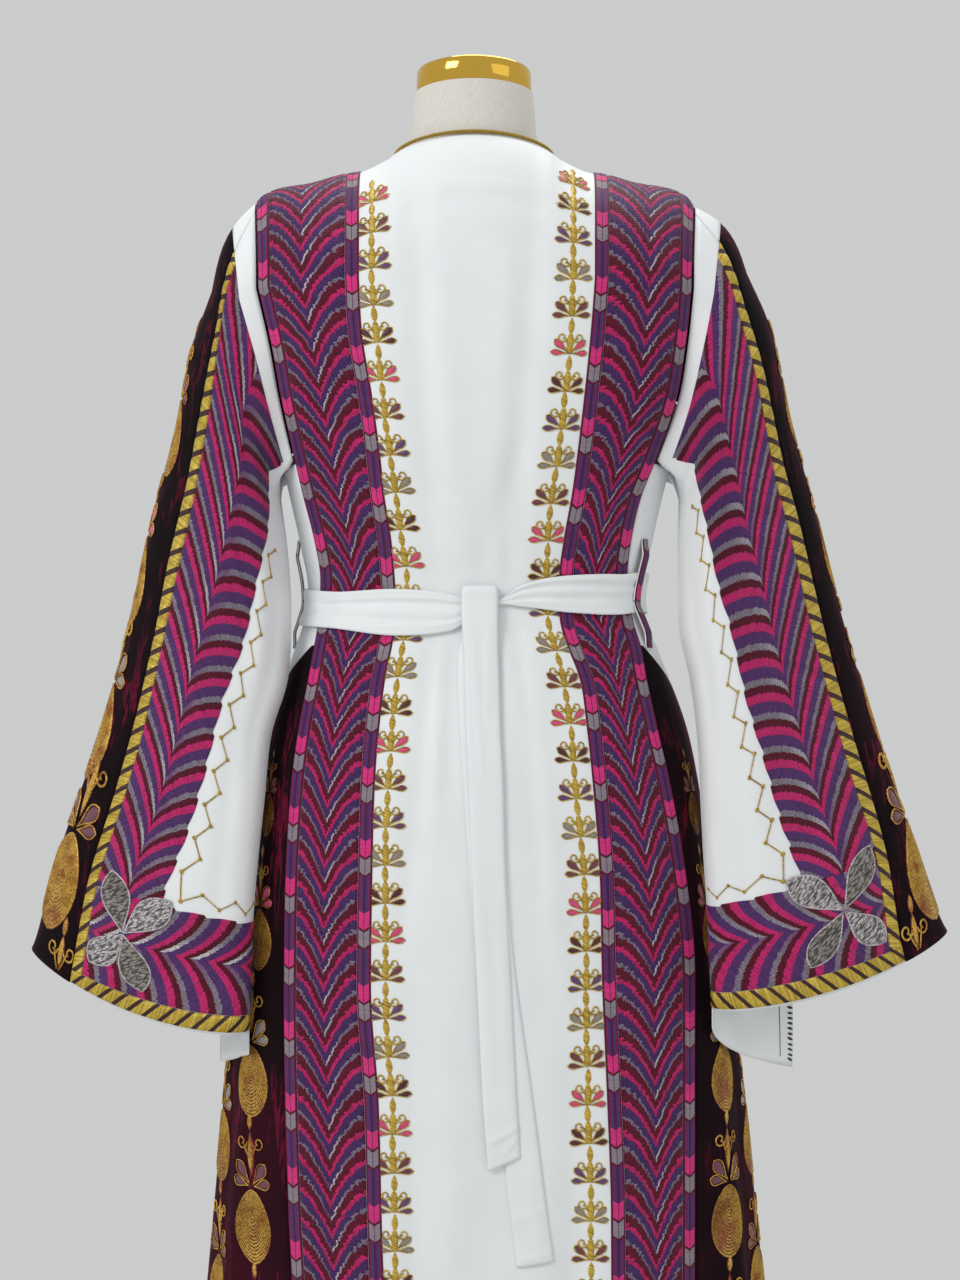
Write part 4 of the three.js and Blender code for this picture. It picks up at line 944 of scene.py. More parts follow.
def facing(sign, near, far):
    """The two edges of a strip beside the back, ordered so that it faces out."""
    a, b = (lambda z: sign * near(z)), (lambda z: sign * far(z))
    return (a, b) if sign > 0 else (b, a)


velvet = Shader("dark_velvet", Roughness=0.8, Sheen_Weight=0.35, Sheen_Roughness=0.25,
                Sheen_Tint=(0.5, 0.1, 0.2, 1.0), Specular_IOR_Level=0.1)
m = velvet.math
place = velvet.place()
height = velvet.node("SeparateXYZ", {0: place}).outputs[2]
cloud = velvet.noise(place, 7, 3)
deep = m("ADD", m("MULTIPLY", height, -0.55), m("ADD", cloud, 0.35))
pile = velvet.ramp(deep, [(0.15, srgb("0b0709")), (0.5, srgb("1b0810")), (0.85, srgb("3c0a1b"))])
streak = velvet.node("Mapping", {0: place, 3: (90, 90, 9)}).outputs[0]
crush = velvet.noise(streak, 1.0, 4, 0.65)
crush = velvet.ramp(crush, [(0.55, (0, 0, 0, 1)), (0.6, (1, 1, 1, 1)), (0.65, (0, 0, 0, 1))])
reach = velvet.ramp(cloud, [(0.42, (0, 0, 0, 1)), (0.62, (0.8, 0.8, 0.8, 1))])
pile = velvet.mix(m("MULTIPLY", crush, reach), pile, srgb("7a1236"))
velvet.set("Base_Color", pile)
velvet.bump(m("ADD", crush, velvet.noise(place, 1500, 2)), 0.0004, 0.35)

side_panels, gores = {}, {}
for side, sign in (("left", -1), ("right", 1)):
    def panel_start(z, sign=sign):
        return np.where(z > GORE_TOP, band_turn(sign, z), gore_turn(sign, z))

    def seam(z):
        return SIDE_SEAM + 0 * z
    side_panels[side] = Lay(dress, *facing(sign, panel_start, seam), ARMPIT, SIDE_POINT)
    gores[side] = Lay(dress, *facing(sign, lambda z, s=sign: band_turn(s, z),
                                     lambda z, s=sign: gore_turn(s, z)), GORE_TOP, HEM)
    side_cloth = cloth(f"side_cloth_{side}", side_panels[side], crepe.material, "crepe", 5, 1.3)
    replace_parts(side_cloth, f"side_panel_{side}")
    gore_cloth = cloth(f"gore_cloth_{side}", gores[side], velvet.material, "velvet", 6.4, 1.8)
    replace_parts(gore_cloth, f"gore_{side}")


# ---- Front --------------------------------------------------------------------------------------
# The front is one panel of the same velvet from the round neckline to the hem, without an opening;
# it is seamed to the back at the shoulders and to the side panels and gores at the sides.
def front_edge(sign, v):
    t = np.clip((v - ARMPIT) / 24, 0, 1)
    return SIDE_SEAM + (180 - band_turn(sign, np.minimum(v, YOKE)) - SIDE_SEAM) * t * t * (3 - 2 * t)


front_lay = Lay(dress, lambda v: front_edge(1, v), lambda v: 360 - front_edge(-1, v), YOKE + RISE, HEM,
                even=True)
front_cloth = cloth("front_cloth", front_lay, velvet.material, "velvet", 8, 1.8)
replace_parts(front_cloth, "front_panel")


# ---- Gold on the velvet -------------------------------------------------------------------------
# Couched gold thread: pears of nested rings, stems with scrolls, and pairs of crimson petals. They
# stand in columns on the gores and on the front, and larger on the sleeves.
def pear(height, width, rings=14, around=24):
    """A pear of nested chain-stitched rings that crowd together near its top."""
    a = np.linspace(0, 2 * np.pi, around, endpoint=False)
    steps = rings * 2 + 1
    t = np.linspace(1, 0.02, steps)[:, None]
    top = np.clip((1 + np.cos(a)) / 2, 0, 1)
    x = width / 2 * np.sin(a) * (1 - 0.42 * top**2)
    y = height * (0.5 + 0.5 * np.cos(a)) ** 0.86
    eye = height * 0.66
    ridge = 0.3 + 0.9 * (np.arange(steps)[:, None] % 2) + 0 * top
    ridge[0] = 0.0
    points = np.stack([x * t, eye + (y - eye) * t, ridge], -1).reshape(-1, 3)
    i, k = np.meshgrid(np.arange(steps - 1), np.arange(around), indexing="ij")
    n = (k + 1) % around
    faces = np.stack([i * around + k, (i + 1) * around + k, (i + 1) * around + n, i * around + n], -1)
    eye_face = [(steps - 1) * around + k for k in range(around)][::-1]
    return points, faces.reshape(-1, 4).tolist() + [eye_face]


PEAR_TOP = 66
velvet_petals = [(24, 11, 52, 0.7), (19, 9, 14, 0.7)]
stem_top = ([moved(leaf(16, 6.5, 1.4, 8, 5), y=114, turn=90)]
            + both(lambda side: moved(rope(scroll(6.5, 1.2), 1.0, 4), 9.5, 104, 0, mirror=side))
            + both(lambda side: moved(rope([(0, 0, .6), (2.6, 6, .7), (4.4, 13, .6)], 0.9, 4), 1, 90, -6,
                                      mirror=side)))
velvet_gold = joined(
    [pear(64, 44), moved(leaf(40, 7.5, 1.5, 10, 5), y=74, turn=90)] + stem_top
    + round_root(lambda l, w, blunt: rope(outline(l, w, blunt), 0.7, 4, closed=True),
                 velvet_petals, 2.5, PEAR_TOP))
velvet_crimson = joined(round_root(lambda l, w, blunt: leaf(l - 2.4, w - 2, 0.8, 8, 5, blunt),
                                   velvet_petals, 3.6, PEAR_TOP))
charts["velvet_gold"] = chart("velvet_gold", velvet_gold)
charts["velvet_crimson"] = chart("velvet_crimson", velvet_crimson)
charts["velvet_stem"] = chart("velvet_stem", joined([moved(leaf(26, 7, 1.5, 8, 5), y=90, turn=90)]
                                                    + stem_top))

dull = Shader("velvet_gold_thread", Metallic=0.35, Roughness=0.42)
place = dull.place()
height = dull.node("SeparateXYZ", {0: place}).outputs[2]
chain = dull.node("TexVoronoi", {"Vector": place, "Scale": 560.0}).outputs["Distance"]
worn = dull.noise(place, 60, 3)
# The lower parts of each motif, between its raised rings, are painted darker: painted shade in the grooves.
up = dull.node("Attribute", attribute_name="up").outputs["Fac"]
low = dull.ramp(up, [(0.25, (1, 1, 1, 1)), (0.95, (0, 0, 0, 1))])
tone = dull.math("ADD", dull.math("MULTIPLY", chain, 0.45), dull.math("MULTIPLY", worn, 0.35))
tone = dull.math("ADD", tone, dull.math("MULTIPLY", low, 0.42))
gold = dull.ramp(tone, [(0.28, srgb("e2b654")), (0.5, srgb("b3822f")), (0.78, srgb("4f1d12"))])
dull.set("Base_Color", dull.mix(dull.ramp(worn, [(0.5, (0, 0, 0, 1)), (0.68, (0.55, 0.55, 0.55, 1))]),
                                gold, srgb("8a3226")))
dull.bump(chain, 0.0008, -0.7)


def velvet_work(name, lay, origin, spots):
    """Gold motifs with petals in coloured thread on a velvet strip."""
    spots = [(*spot[:4], (4, 0, 3)[k % 3]) for k, spot in enumerate(spots)]
    for kind, material, slot in [("gold", dull.material, "gold_thread"),
                                 ("crimson", petal_thread, "feather_embroidery")]:
        mesh = repeated(f"{name}_{kind}", charts["velvet_" + kind], spots, material, 0.03, 5)
        laid(f"{name}_{kind}", mesh, lay, material, origin, 0.15)


GORE_MOTIFS = table("column first size", [(31, 190, 0.62), (31, 310, 0.85), (38, 440, 1.0), (38, 567, 1.0),
                                          (38, 694, 1.0), (38, 821, 1.0), (38, 947, 1.0),
                                          (96, 395, 0.9), (98, 508, 1.0), (98, 635, 1.0),
                                          (98, 762, 1.0), (98, 889, 1.0)])
for side, sign in (("left", -1), ("right", 1)):
    spots = [(sign * x, -y, 0, size, 0) for x, y, size in zip(*GORE_MOTIFS.values())
             if y < gores[side].length - 6]
    velvet_work(f"gore_{side}", gores[side], 0.0 if sign > 0 else 1.0, spots)
FRONT_COLUMNS = [((-72, 0, 72), 560), ((-144, 144), 690), ((-205, 205), 860)]
MOTIF_PITCH, LAST_MOTIF = 127, 1400
spots = [(x, -y, 0, 1, 0) for columns, first in FRONT_COLUMNS for x in columns
         for y in range(first, LAST_MOTIF, MOTIF_PITCH)]
spots += [(x, -y, 0, 0.8, 0) for x in (-95, 95) for y in (260, 365)]
velvet_work("front", front_lay, 0.5, spots)


# ---- Sleeves ------------------------------------------------------------------------------------
# Each wide bell sleeve has three panels: a white crepe back, a velvet front that wraps its outer
# edge, and a white under-sleeve that hangs below the hem; it is set into the armhole at row 0.
# Rows down a sleeve: the places of its inner and outer edge, how far it swells behind and before
# them, its sag, and the shares of its width at which the feather band and the trim begin and end.
ROWS = "row xin yin zin xout yout zout behind before sag band trim_in trim_out"
SLEEVES = {
    "left": table(ROWS, [
        (1, 180, -22, 1150, 245, -4, 1349, 62, 60, 4, 0.11, 0.77, 0.815),
        (2, 171, -38, 1094, 264, -8, 1292, 58, 56, 6, 0.15, 0.72, 0.79),
        (3, 167, -50, 1038, 279, -12, 1212, 55, 52, 8, 0.23, 0.74, 0.81),
        (4, 169, -60, 984, 300, -15, 1132, 52, 46, 10, 0.27, 0.74, 0.81),
        (5, 183, -68, 934, 317, -18, 1050, 50, 42, 10, 0.3, 0.73, 0.795),
        (6, 188, -76, 878, 337, -20, 969, 48, 40, 8, 0.33, 0.73, 0.795),
        (7, 193, -82, 824, 359, -22, 899, 46, 40, 4, 0.36, 0.73, 0.79),
        (8, 197, -86, 769, 388, -24, 814, 45, 36, 1, 0.41, 0.735, 0.785),
        (8.85, 199.5, -89, 687, 407, -25, 742, 44, 34, 9, 0.46, 0.732, 0.78),
        (9, 200, -90, 671, 410, -25, 735, 44, 34, 13, 0.47, 0.73, 0.777)]),
    "right": table(ROWS, [
        (1, 191, -22, 1150, 255, -4, 1366, 62, 60, 4, 0.14, 0.78, 0.85),
        (2, 188, -38, 1094, 278, -8, 1310, 58, 56, 6, 0.2, 0.76, 0.83),
        (3, 187, -50, 1038, 295, -12, 1226, 55, 52, 8, 0.26, 0.77, 0.85),
        (4, 196, -62, 984, 313, -15, 1160, 52, 46, 10, 0.28, 0.77, 0.85),
        (5, 202, -70, 929, 330, -18, 1090, 50, 42, 10, 0.3, 0.77, 0.85),
        (6, 204, -76, 876, 350, -20, 1015, 48, 40, 8, 0.35, 0.78, 0.85),
        (7, 206, -82, 824, 378, -22, 922, 46, 40, 4, 0.38, 0.78, 0.85),
        (8, 208, -87, 784, 407, -24, 836, 45, 34, 1, 0.41, 0.775, 0.83),
        (8.85, 211.5, -92, 708, 434, -25, 760, 44, 30, 6, 0.46, 0.725, 0.78),
        (9, 212, -93, 692, 439, -25, 751, 44, 30, 11, 0.47, 0.72, 0.777)])}
# Creases of a sleeve between two points: ten times their u, and their row.
SLEEVE_CREASES = table("face x1 z1 x2 z2 width depth", [
    (1, 0.9, 0.6, 1.0, 5.5, 0.22, -3.5), (1, 1.6, 1.2, 1.35, 4.2, 0.2, 2.4),
    (1, 0.4, 2.0, 0.55, 7.5, 0.2, 2.2), (1, 2.3, 0.7, 2.0, 3.0, 0.25, -2.4),
    (1, 1.5, 5.0, 1.2, 8.8, 0.22, -2.6), (1, 2.9, 4.5, 2.75, 8.8, 0.3, 1.8),
    (1, 3.4, 1.0, 3.5, 5.0, 0.22, 1.6), (1, 4.4, 0.8, 4.9, 6.0, 0.3, -3.6),
    (1, 5.2, 2.0, 5.35, 8.6, 0.3, 3.4), (1, 6.0, 0.8, 6.1, 6.5, 0.3, -3.8),
    (1, 6.8, 2.5, 6.7, 8.9, 0.3, 3.0), (1, 7.5, 0.7, 7.4, 5.5, 0.25, -3.0),
    (1, 8.3, 2.0, 8.4, 8.0, 0.3, 2.6), (1, 9.1, 1.0, 9.2, 7.0, 0.3, -2.6)])
# The share of half the armhole that lies under the arm, and the rows at which the crepe head and
# the sleeve end.
UNDER_ARM, HEAD, SLEEVE_END = 0.16, 0.36, 9


def armhole(sign, u):
    """Points of the armhole: up its back for u from 0 to 0.5, down its front from 0.5 to 1."""
    up = np.where(u <= 0.5, u, 1 - u) * 2
    front = u > 0.5
    corner = np.where(front, SIDE_SEAM, band_turn(sign, ARMPIT))
    under = below_yoke(sign * (90 + (corner - 90) * np.clip(up / UNDER_ARM, 0, 1)), ARMPIT + 0 * up)
    v = ARMPIT + (YOKE + RISE - ARMPIT) * np.clip((up - UNDER_ARM) / (1 - UNDER_ARM), 0, 1)
    edge = band_turn(sign, np.minimum(v, YOKE))
    beside = dress(sign * np.where(front, 180 - edge, edge), v)
    beside[..., 0] += sign * np.where(front, 3, 2)
    return np.where((up < UNDER_ARM)[..., None], under + np.array([sign * 2, 0, 2]), beside)


def sleeve(side, u, row):
    """Points of a sleeve: u from the body edge over the back (0 to 0.5) and home over the front."""
    u = np.asarray(u, float) % 1
    row = np.asarray(row, float) + 0 * u
    sign = -1 if side == "left" else 1
    at = {c: look(SLEEVES[side], c, np.maximum(row, 1)) for c in ROWS.split()[1:10]}
    across, swell = (1 - np.cos(2 * np.pi * u)) / 2, np.sin(2 * np.pi * u)
    push = creased(SLEEVE_CREASES, u * 10, row) * np.clip(row, 0, 1)
    p = np.stack([sign * (at["xin"] + (at["xout"] - at["xin"]) * across),
                  at["yin"] + (at["yout"] - at["yin"]) * across
                  - swell * (np.where(swell > 0, at["behind"], at["before"]) + push),
                  at["zin"] + (at["zout"] - at["zin"]) * across - at["sag"] * swell**2], -1)
    r = np.clip(row, 0, 1)[..., None]
    head = np.sin(np.pi * r) * (across**2)[..., None] * np.array([sign * 7, 0, 8])
    set_in = armhole(sign, u) * (1 - r) + p * r + head
    return np.where((row < 1)[..., None], set_in, p)


def across_u(share):
    return np.arccos(1 - 2 * share) / (2 * np.pi)


def seam_u(side, seam, row):
    """The u of a sleeve's seam at a row: band, trim_in or trim_out."""
    first = {"band": 0.07, "trim_in": 0.93, "trim_out": 0.965}[seam]
    share = look(SLEEVES[side], seam, np.maximum(row, 1))
    return across_u(first + (share - first) * np.minimum(row, 1))


UNDER = {"left": 1 - across_u(0.15), "right": 1 - across_u(0.36)}
FLAP = {"left": [(0, 20), (0.5, 26), (1, 38)], "right": [(0, 14), (0.5, 45), (1, 76)]}


def facing_out(side, near, far):
    """The two edges of a strip of a sleeve, ordered so that it faces out."""
    return (near, far) if side == "right" else (far, near)


def down_sleeve(side, near, far, top=0, bottom=SLEEVE_END):
    """A strip down a sleeve between two lines of u by row, facing out."""
    return Lay(lambda u, row: sleeve(side, u, row), *facing_out(side, near, far), top, bottom)


def along_hem(side, upper, lower, seam, row):
    """A strip along a sleeve's hem between two rows, from the body edge out to a seam."""
    rows = [(lambda u, r=r: r + 0 * u) for r in facing_out(side, lower, upper)]
    end = float(seam_u(side, seam, row))
    return Lay(lambda row, u: sleeve(side, u * seam_u(side, seam, row) / end, row), *rows, 0.004, end)


def seam_line(side, seam):
    return lambda row: seam_u(side, seam, row)


def head_row(u):
    """How far down the sleeve its crepe head reaches at a u, beyond which the velvet begins."""
    return HEAD * np.clip((0.68 - np.asarray(u)) / 0.18, 0, 1)


def below_head(side):
    """The sleeve's surface with row 0 moved down to the edge of its head."""
    return lambda u, row: sleeve(side, u, head_row(u) + (SLEEVE_END - head_row(u)) * np.asarray(row)
                                 / SLEEVE_END)


UNDER_WALL = 1.2
sleeve_back, sleeve_velvet, under_sleeve = {}, {}, {}
for side in ("left", "right"):
    sleeve_back[side] = down_sleeve(side, lambda row: 0.002 + 0 * row, seam_line(side, "trim_out"))
    edges = facing_out(side, lambda row, side=side: seam_u(side, "trim_out", HEAD + 0.96 * row) + 0.001,
                       lambda row, side=side: UNDER[side] - 0.001 + 0 * row)
    sleeve_velvet[side] = Lay(below_head(side), *edges, 0, SLEEVE_END, even=True)
    edges = facing_out(side, seam_line(side, "trim_out"), lambda row: 0.66 + 0 * row)
    head = Lay(lambda u, row, side=side: sleeve(side, u, row * head_row(u) / HEAD), *edges, 0, HEAD)
    head_cloth = cloth(f"sleeve_head_{side}", head, crepe.material, "crepe", 3.2, 1.2, inset=0.1)
    back_sleeve = cloth(f"sleeve_back_cloth_{side}", sleeve_back[side], crepe.material, "crepe", 6.4, 1.3)
    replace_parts(back_sleeve, f"sleeve_back_{side}")
    front_sleeve = cloth(f"sleeve_velvet_{side}", sleeve_velvet[side], velvet.material, "velvet", 7, 1.8)
    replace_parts(front_sleeve, f"sleeve_front_{side}")

    def under_surface(u, row, side=side):
        drop = np.interp(1 - (np.asarray(u) - UNDER[side]) / (1 - UNDER[side]), *zip(*FLAP[side]))
        p = sleeve(side, np.minimum(u, 0.9999), np.minimum(row, SLEEVE_END))
        below = np.clip(row - SLEEVE_END, 0, 1)
        p[..., 2] -= drop * below
        p[..., 1] += 3 * np.sin(np.pi * below) * np.sin(np.asarray(u) * 60)
        return p
    edges = facing_out(side, lambda row, side=side: UNDER[side] + 0.001 + 0 * row,
                       lambda row: 0.998 + 0 * row)
    under_sleeve[side] = Lay(under_surface, *edges, 0, SLEEVE_END + 1)
    under_cloth = cloth(f"sleeve_under_cloth_{side}", under_sleeve[side], crepe.material, "crepe", 5,
                        UNDER_WALL)
    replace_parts(under_cloth, f"sleeve_under_{side}")


# ---- Feather bands, trims and flowers of the sleeves --------------------------------------------
# The feather band runs down the back of each sleeve and turns along its hem, where a silver-grey
# flower covers the corner; a gold satin trim with dark slanting bars edges both arms of the L.
WIDE_FEATHER = {"stitch": 1.4, "slant": -45, "jag": 0.05, "grain": 1.9}
# Each pattern also gives the half whose grey stripe gets a painted highlight near the tip, how strong it is
# and its colour.
SLEEVE_FEATHER = {
    "left": {**WIDE_FEATHER, "drop": (46, 40), "power": 1.5, "root": 0.65, "pitch": 31.2, "first": 489,
             "painted_highlight": (-1, 0.6, "d8d2da")},
    "right": {**WIDE_FEATHER, "drop": (42, 44), "power": 1.5, "root": 0.65, "pitch": 33.0, "first": 221,
              "painted_highlight": (-1, 0.5, "d0cad2")}}
CUFF_FEATHER = {
    "left": {**WIDE_FEATHER, "drop": (40, 26), "power": 2.0, "root": 0.3, "pitch": 28.5, "first": 97,
             "painted_highlight": (-1, 0.9, "e6e1e8")},
    "right": {**WIDE_FEATHER, "drop": (27, 40), "power": 2.0, "root": 0.3, "pitch": 30.5, "first": 97,
              "painted_highlight": (1, 0.35, "c8c2ca")}}
SLEEVE_TONES = [(0.0, "d62a75"), (0.25, "5c3573"), (0.58, "8f8594"), (0.77, "620a26")]
# The distance between the bars of a trim, and the share of it that a bar takes.
TRIM_PITCH, BAR = {"sleeve": 18.3, "cuff": 15.6}, 0.3
# The rows of the sleeve at which the band along the hem begins and ends.
CUFF, CUFF_EDGE = 8, 8.85


def trim_shader(name, lean, pitch):
    """Gold satin blocks parted by dark bars that lean across the trim."""
    s = Shader(name, Metallic=0.4, Roughness=0.36)
    m = s.math
    x, y = s.flat()
    x, y = m("MULTIPLY", x, 1000.0), m("MULTIPLY", y, -1000.0)
    turn = m("DIVIDE", m("ADD", y, m("MULTIPLY", x, lean)), pitch)
    bar = m("LESS_THAN", m("FRACT", turn), BAR)
    lines = m("DIVIDE", m("ADD", y, m("MULTIPLY", x, lean * 0.3)), 1.3)
    dice = s.node("TexWhiteNoise", {1: m("FLOOR", lines)}, noise_dimensions="1D").outputs[0]
    grain = s.noise(s.vector(m("MULTIPLY", x, 0.3), y), 1.1, 2)
    gold = s.ramp(m("ADD", m("MULTIPLY", dice, 0.4), m("MULTIPLY", grain, 0.6)),
                  [(0.2, srgb("a3842a")), (0.5, srgb("cdae3e")), (0.8, srgb("ecd466"))])
    s.set("Base_Color", s.mix(bar, gold, srgb("350911")))
    s.set("Metallic", m("MULTIPLY", m("SUBTRACT", 1.0, bar), 0.4))
    s.bump(m("ADD", m("SINE", m("MULTIPLY", m("FRACT", lines), math.pi)), grain), 0.0005, 0.7)
    return s.material


def trim_height(lay, lean, pitch):
    def height(share, b):
        turn = (b + lean * (share - 0.5) * lay.width(b)) / pitch % 1
        across = np.abs(share - 0.5) * 2
        block = np.clip(np.sin(np.pi * np.clip((turn - BAR) / (1 - BAR), 0, 1)), 0, 1) ** 0.35
        return 0.5 + 1.1 * np.sqrt(np.clip(1 - across**2, 0, 1)) * np.where(turn < BAR, 0.3, block)
    return height


# The big flower. Each petal: length, width, degrees from the strip's right; the first two are darker.
PETALS = {"left": [(49, 22, 109), (47, 22, -67), (48, 23, 50), (41, 22, 236)],
          "right": [(49, 21, 56), (47, 21.5, 236), (54, 22, 136), (48, 21, -51)]}
# Its middle: share of the sleeve back's width, and mm down.
FLOWER = {"left": (0.217, 530), "right": (0.76, 512.5)}


def looped(name, dark, middle, light):
    """Looped silver thread: short curls side by side, with a painted highlight on each curl and painted shade
    between them.
    """
    s = Shader(name, Roughness=0.45, Specular_IOR_Level=0.4)
    x, y = (s.math("MULTIPLY", w, 1000.0) for w in s.flat())
    bent = s.vector(s.math("MULTIPLY", s.math("ADD", x, y), 0.36), s.math("SUBTRACT", x, y))
    cell = s.node("TexVoronoi", {"Vector": bent, "Scale": 0.5}).outputs
    grain = s.noise(s.vector(x, y), 0.9, 3, 0.7)
    tone = s.math("SUBTRACT", s.math("ADD", 0.62, s.math("MULTIPLY", grain, 0.75)),
                  s.math("MULTIPLY", cell["Distance"], 1.0))
    s.set("Base_Color", s.ramp(tone, [(0.25, srgb(dark)), (0.5, srgb(middle)), (0.8, srgb(light))]))
    s.bump(tone, 0.0016, 1.0)
    return s.material


silver = {"dark": looped("dark_silver_thread", "453f3b", "7b746e", "b2aca6"),
          "light": looped("light_silver_thread", "5a5354", "a79fa0", "ebe6e6")}
silver["rim"] = satin("pale_silver_thread", "dcd6da", "9a9096", slant=20, pitch=0.9,
                      Roughness=0.45).material


def teeth_of(feather, which):
    """The stitches of each chevron end a little further in than those of the one below it."""
    def teeth(b):
        turn = feather_turn(which + 0 * b, b, feather) % 1
        short = 2.8 * np.where(turn < 0.77, np.clip((turn - 0.2) / 0.57, 0, 1), 0)
        return (short, 0 * b) if which == 0 else (0 * b, short)
    return teeth


trims = {(where, lean): trim_shader(f"gold_trim_{where}_{k}", lean, pitch)
         for where, pitch in TRIM_PITCH.items() for k, lean in enumerate((-1.0, 1.0))}
for side in ("left", "right"):
    sign, body = (-1, 1) if side == "left" else (1, 0)
    for kind, feather, lay, inner in [
            ("sleeve", SLEEVE_FEATHER[side],
             down_sleeve(side, seam_line(side, "band"), seam_line(side, "trim_in"), HEAD, 8.02), body),
            ("cuff", CUFF_FEATHER[side], along_hem(side, CUFF, CUFF_EDGE, "trim_in", 8.4), 1 - body)]:
        thread = feather_shader(f"{kind}_thread_{side}", feather, SLEEVE_TONES)
        feathers = relief(f"{kind}_feather_{side}", lay, feather_height(feather, SLEEVE_TONES), thread,
                          "feather_embroidery", 2.4 if kind == "sleeve" else 1.8,
                          teeth=teeth_of(feather, inner))
        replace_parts(feathers, f"{kind}_band_{side}")
    for kind, lay, lean in [
            ("sleeve", down_sleeve(side, seam_line(side, "trim_in"), seam_line(side, "trim_out"),
                                   HEAD, 8.86), -sign),
            ("cuff", along_hem(side, CUFF_EDGE, 8.985, "trim_out", 8.9), sign)]:
        trim = relief(f"{kind}_trim_{side}_satin", lay, trim_height(lay, lean, TRIM_PITCH[kind]),
                      trims[kind, lean], "gold_thread", 1.7, across=10)
        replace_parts(trim, f"{kind}_trim_{side}")
    share, b = FLOWER[side]
    for tone, group in (("dark", PETALS[side][:2]), ("light", PETALS[side][2:]), ("rim", PETALS[side])):
        away, lift = (0.8, 1.0) if tone == "rim" else (1.5, 1.5)
        parts = [rope(outline(length + 1.4, width + 1.4, 0.62, 19), 0.7, 5, closed=True)
                 if tone == "rim" else leaf(length, width, 1.9, 22, 11, 0.62, 0.7)
                 for length, width, a in group]
        points, faces = joined([moved(part, away * math.cos(math.radians(a)),
                                      away * math.sin(math.radians(a)), a)
                                for part, (length, width, a) in zip(parts, group)])
        mesh = bpy.data.meshes.new("flower")
        points[:, 1] -= b
        mesh.from_pydata(points.tolist(), [], faces)
        laid(f"cuff_flower_{tone}_{side}", mesh, sleeve_back[side], silver[tone],
             share, lift)


# ---- Gold on the sleeves ------------------------------------------------------------------------
# Beside each feather band a fine gold cord runs in zigzags on the crepe, with a knot at each
# corner; the velvet has the same pears and stems as the skirt, larger.
def path_tree():
    """Geometry Nodes: a round cord along a path, with a bead at every point marked as one."""
    tree, inside, outside = node_group("beaded_path", [("Radius", "Float"), ("Bead", "Float"),
                                                       ("Bead Shape", "Vector")])
    new, link = tree.nodes.new, tree.links.new
    curve, tube = new("GeometryNodeMeshToCurve"), new("GeometryNodeCurveToMesh")
    ring = new("GeometryNodeCurvePrimitiveCircle")
    ring.inputs["Resolution"].default_value = 5
    link(inside.outputs["Radius"], ring.inputs["Radius"])
    link(inside.outputs["Geometry"], curve.inputs[0])
    link(curve.outputs[0], tube.inputs["Curve"])
    link(ring.outputs[0], tube.inputs["Profile Curve"])
    tube.inputs["Fill Caps"].default_value = True
    ball, place = new("GeometryNodeMeshIcoSphere"), new("GeometryNodeInstanceOnPoints")
    ball.inputs["Subdivisions"].default_value = 2
    link(inside.outputs["Bead"], ball.inputs["Radius"])
    link(inside.outputs["Geometry"], place.inputs["Points"])
    link(marked_as(tree, "bead"), place.inputs["Selection"])
    link(marked_as(tree, "aim", "FLOAT_VECTOR"), place.inputs["Rotation"])
    link(inside.outputs["Bead Shape"], place.inputs["Scale"])
    link(ball.outputs["Mesh"], place.inputs["Instance"])
    together = new("GeometryNodeJoinGeometry")
    link(tube.outputs[0], together.inputs[0])
    link(place.outputs[0], together.inputs[0])
    return end_group(tree, together.outputs[0], inside, outside)


beaded_path = path_tree()


def along(name, path, marked, aims, closed, **values):
    """The mesh of a cord along a path, with beads at the marked points."""
    n = len(path)
    edges = [(i, (i + 1) % n) for i in range(n if closed else n - 1)]
    mesh = bpy.data.meshes.new(name + "_path")
    mesh.from_pydata(np.asarray(path).tolist(), edges, [])
    bead = mesh.attributes.new("bead", "FLOAT", "POINT")
    bead.data.foreach_set("value", np.asarray(marked, float))
    aim = mesh.attributes.new("aim", "FLOAT_VECTOR", "POINT")
    aim.data.foreach_set("vector", np.asarray(aims, float).ravel())
    return grown(name, mesh, beaded_path, values)


gilt = satin("gold_cord", "d8b745", "8f6c20", slant=60, pitch=0.8, Metallic=0.5, Roughness=0.36)


def band_share(side, row):
    """The share of the sleeve back's width at which its feather band begins."""
    low, high = 0.002, seam_u(side, "trim_out", row)
    share = (seam_u(side, "band", row) - low) / (high - low)
    return share if side == "right" else 1 - share


# The first corner is this far down; then the distance between corners, and how far off the band they
# are in turn, down the sleeve and along its hem. Each stretch between corners has five parts.
CORD_FIRST = {"left": 139.0, "right": 95.0}
CORD_STEP, CORD_SWING, HEM_STEP, HEM_SWING, CORD_PARTS = 15.5, (6.0, 16.0), 17.0, (17.0, 7.0), 5
for side, start in CORD_FIRST.items():
    sign = -1 if side == "left" else 1
    lay = sleeve_back[side]
    end = float(lay.down(CUFF))
    b = np.arange(start, end - 22, CORD_STEP)
    away = np.where(np.arange(len(b)) % 2, *CORD_SWING)
    share = band_share(side, np.interp(b, lay.b, lay.q))
    x = (share - 0.5) * lay.width(b) - sign * away
    corner = (band_share(side, CUFF) - 0.5) * lay.width(end)
    edge = -sign * 0.5 * lay.width(end) + sign * 8
    x2 = np.arange(corner - sign * 14, edge, -sign * HEM_STEP)
    b2 = end - np.where(np.arange(len(x2)) % 2, *HEM_SWING)
    path = np.stack([np.concatenate([x, x2]), -np.concatenate([b, b2])], -1)
    fine = [path[0]]
    for p, q in zip(path[:-1], path[1:]):
        fine += [p + (q - p) * k / CORD_PARTS for k in range(1, CORD_PARTS + 1)]
    fine = np.concatenate([np.array(fine), np.full((len(fine), 1), 0.5)], -1)
    marked = np.arange(len(fine)) % CORD_PARTS == 0
    mesh = along(f"zigzag_{side}", fine, marked, 0 * fine, False, Radius=0.55, Bead=1.9,
                 **{"Bead Shape": (1, 1, 0.5), "Thread": gilt.material})
    laid(f"zigzag_{side}", mesh, lay, gilt.material, 0.5, 0.1)

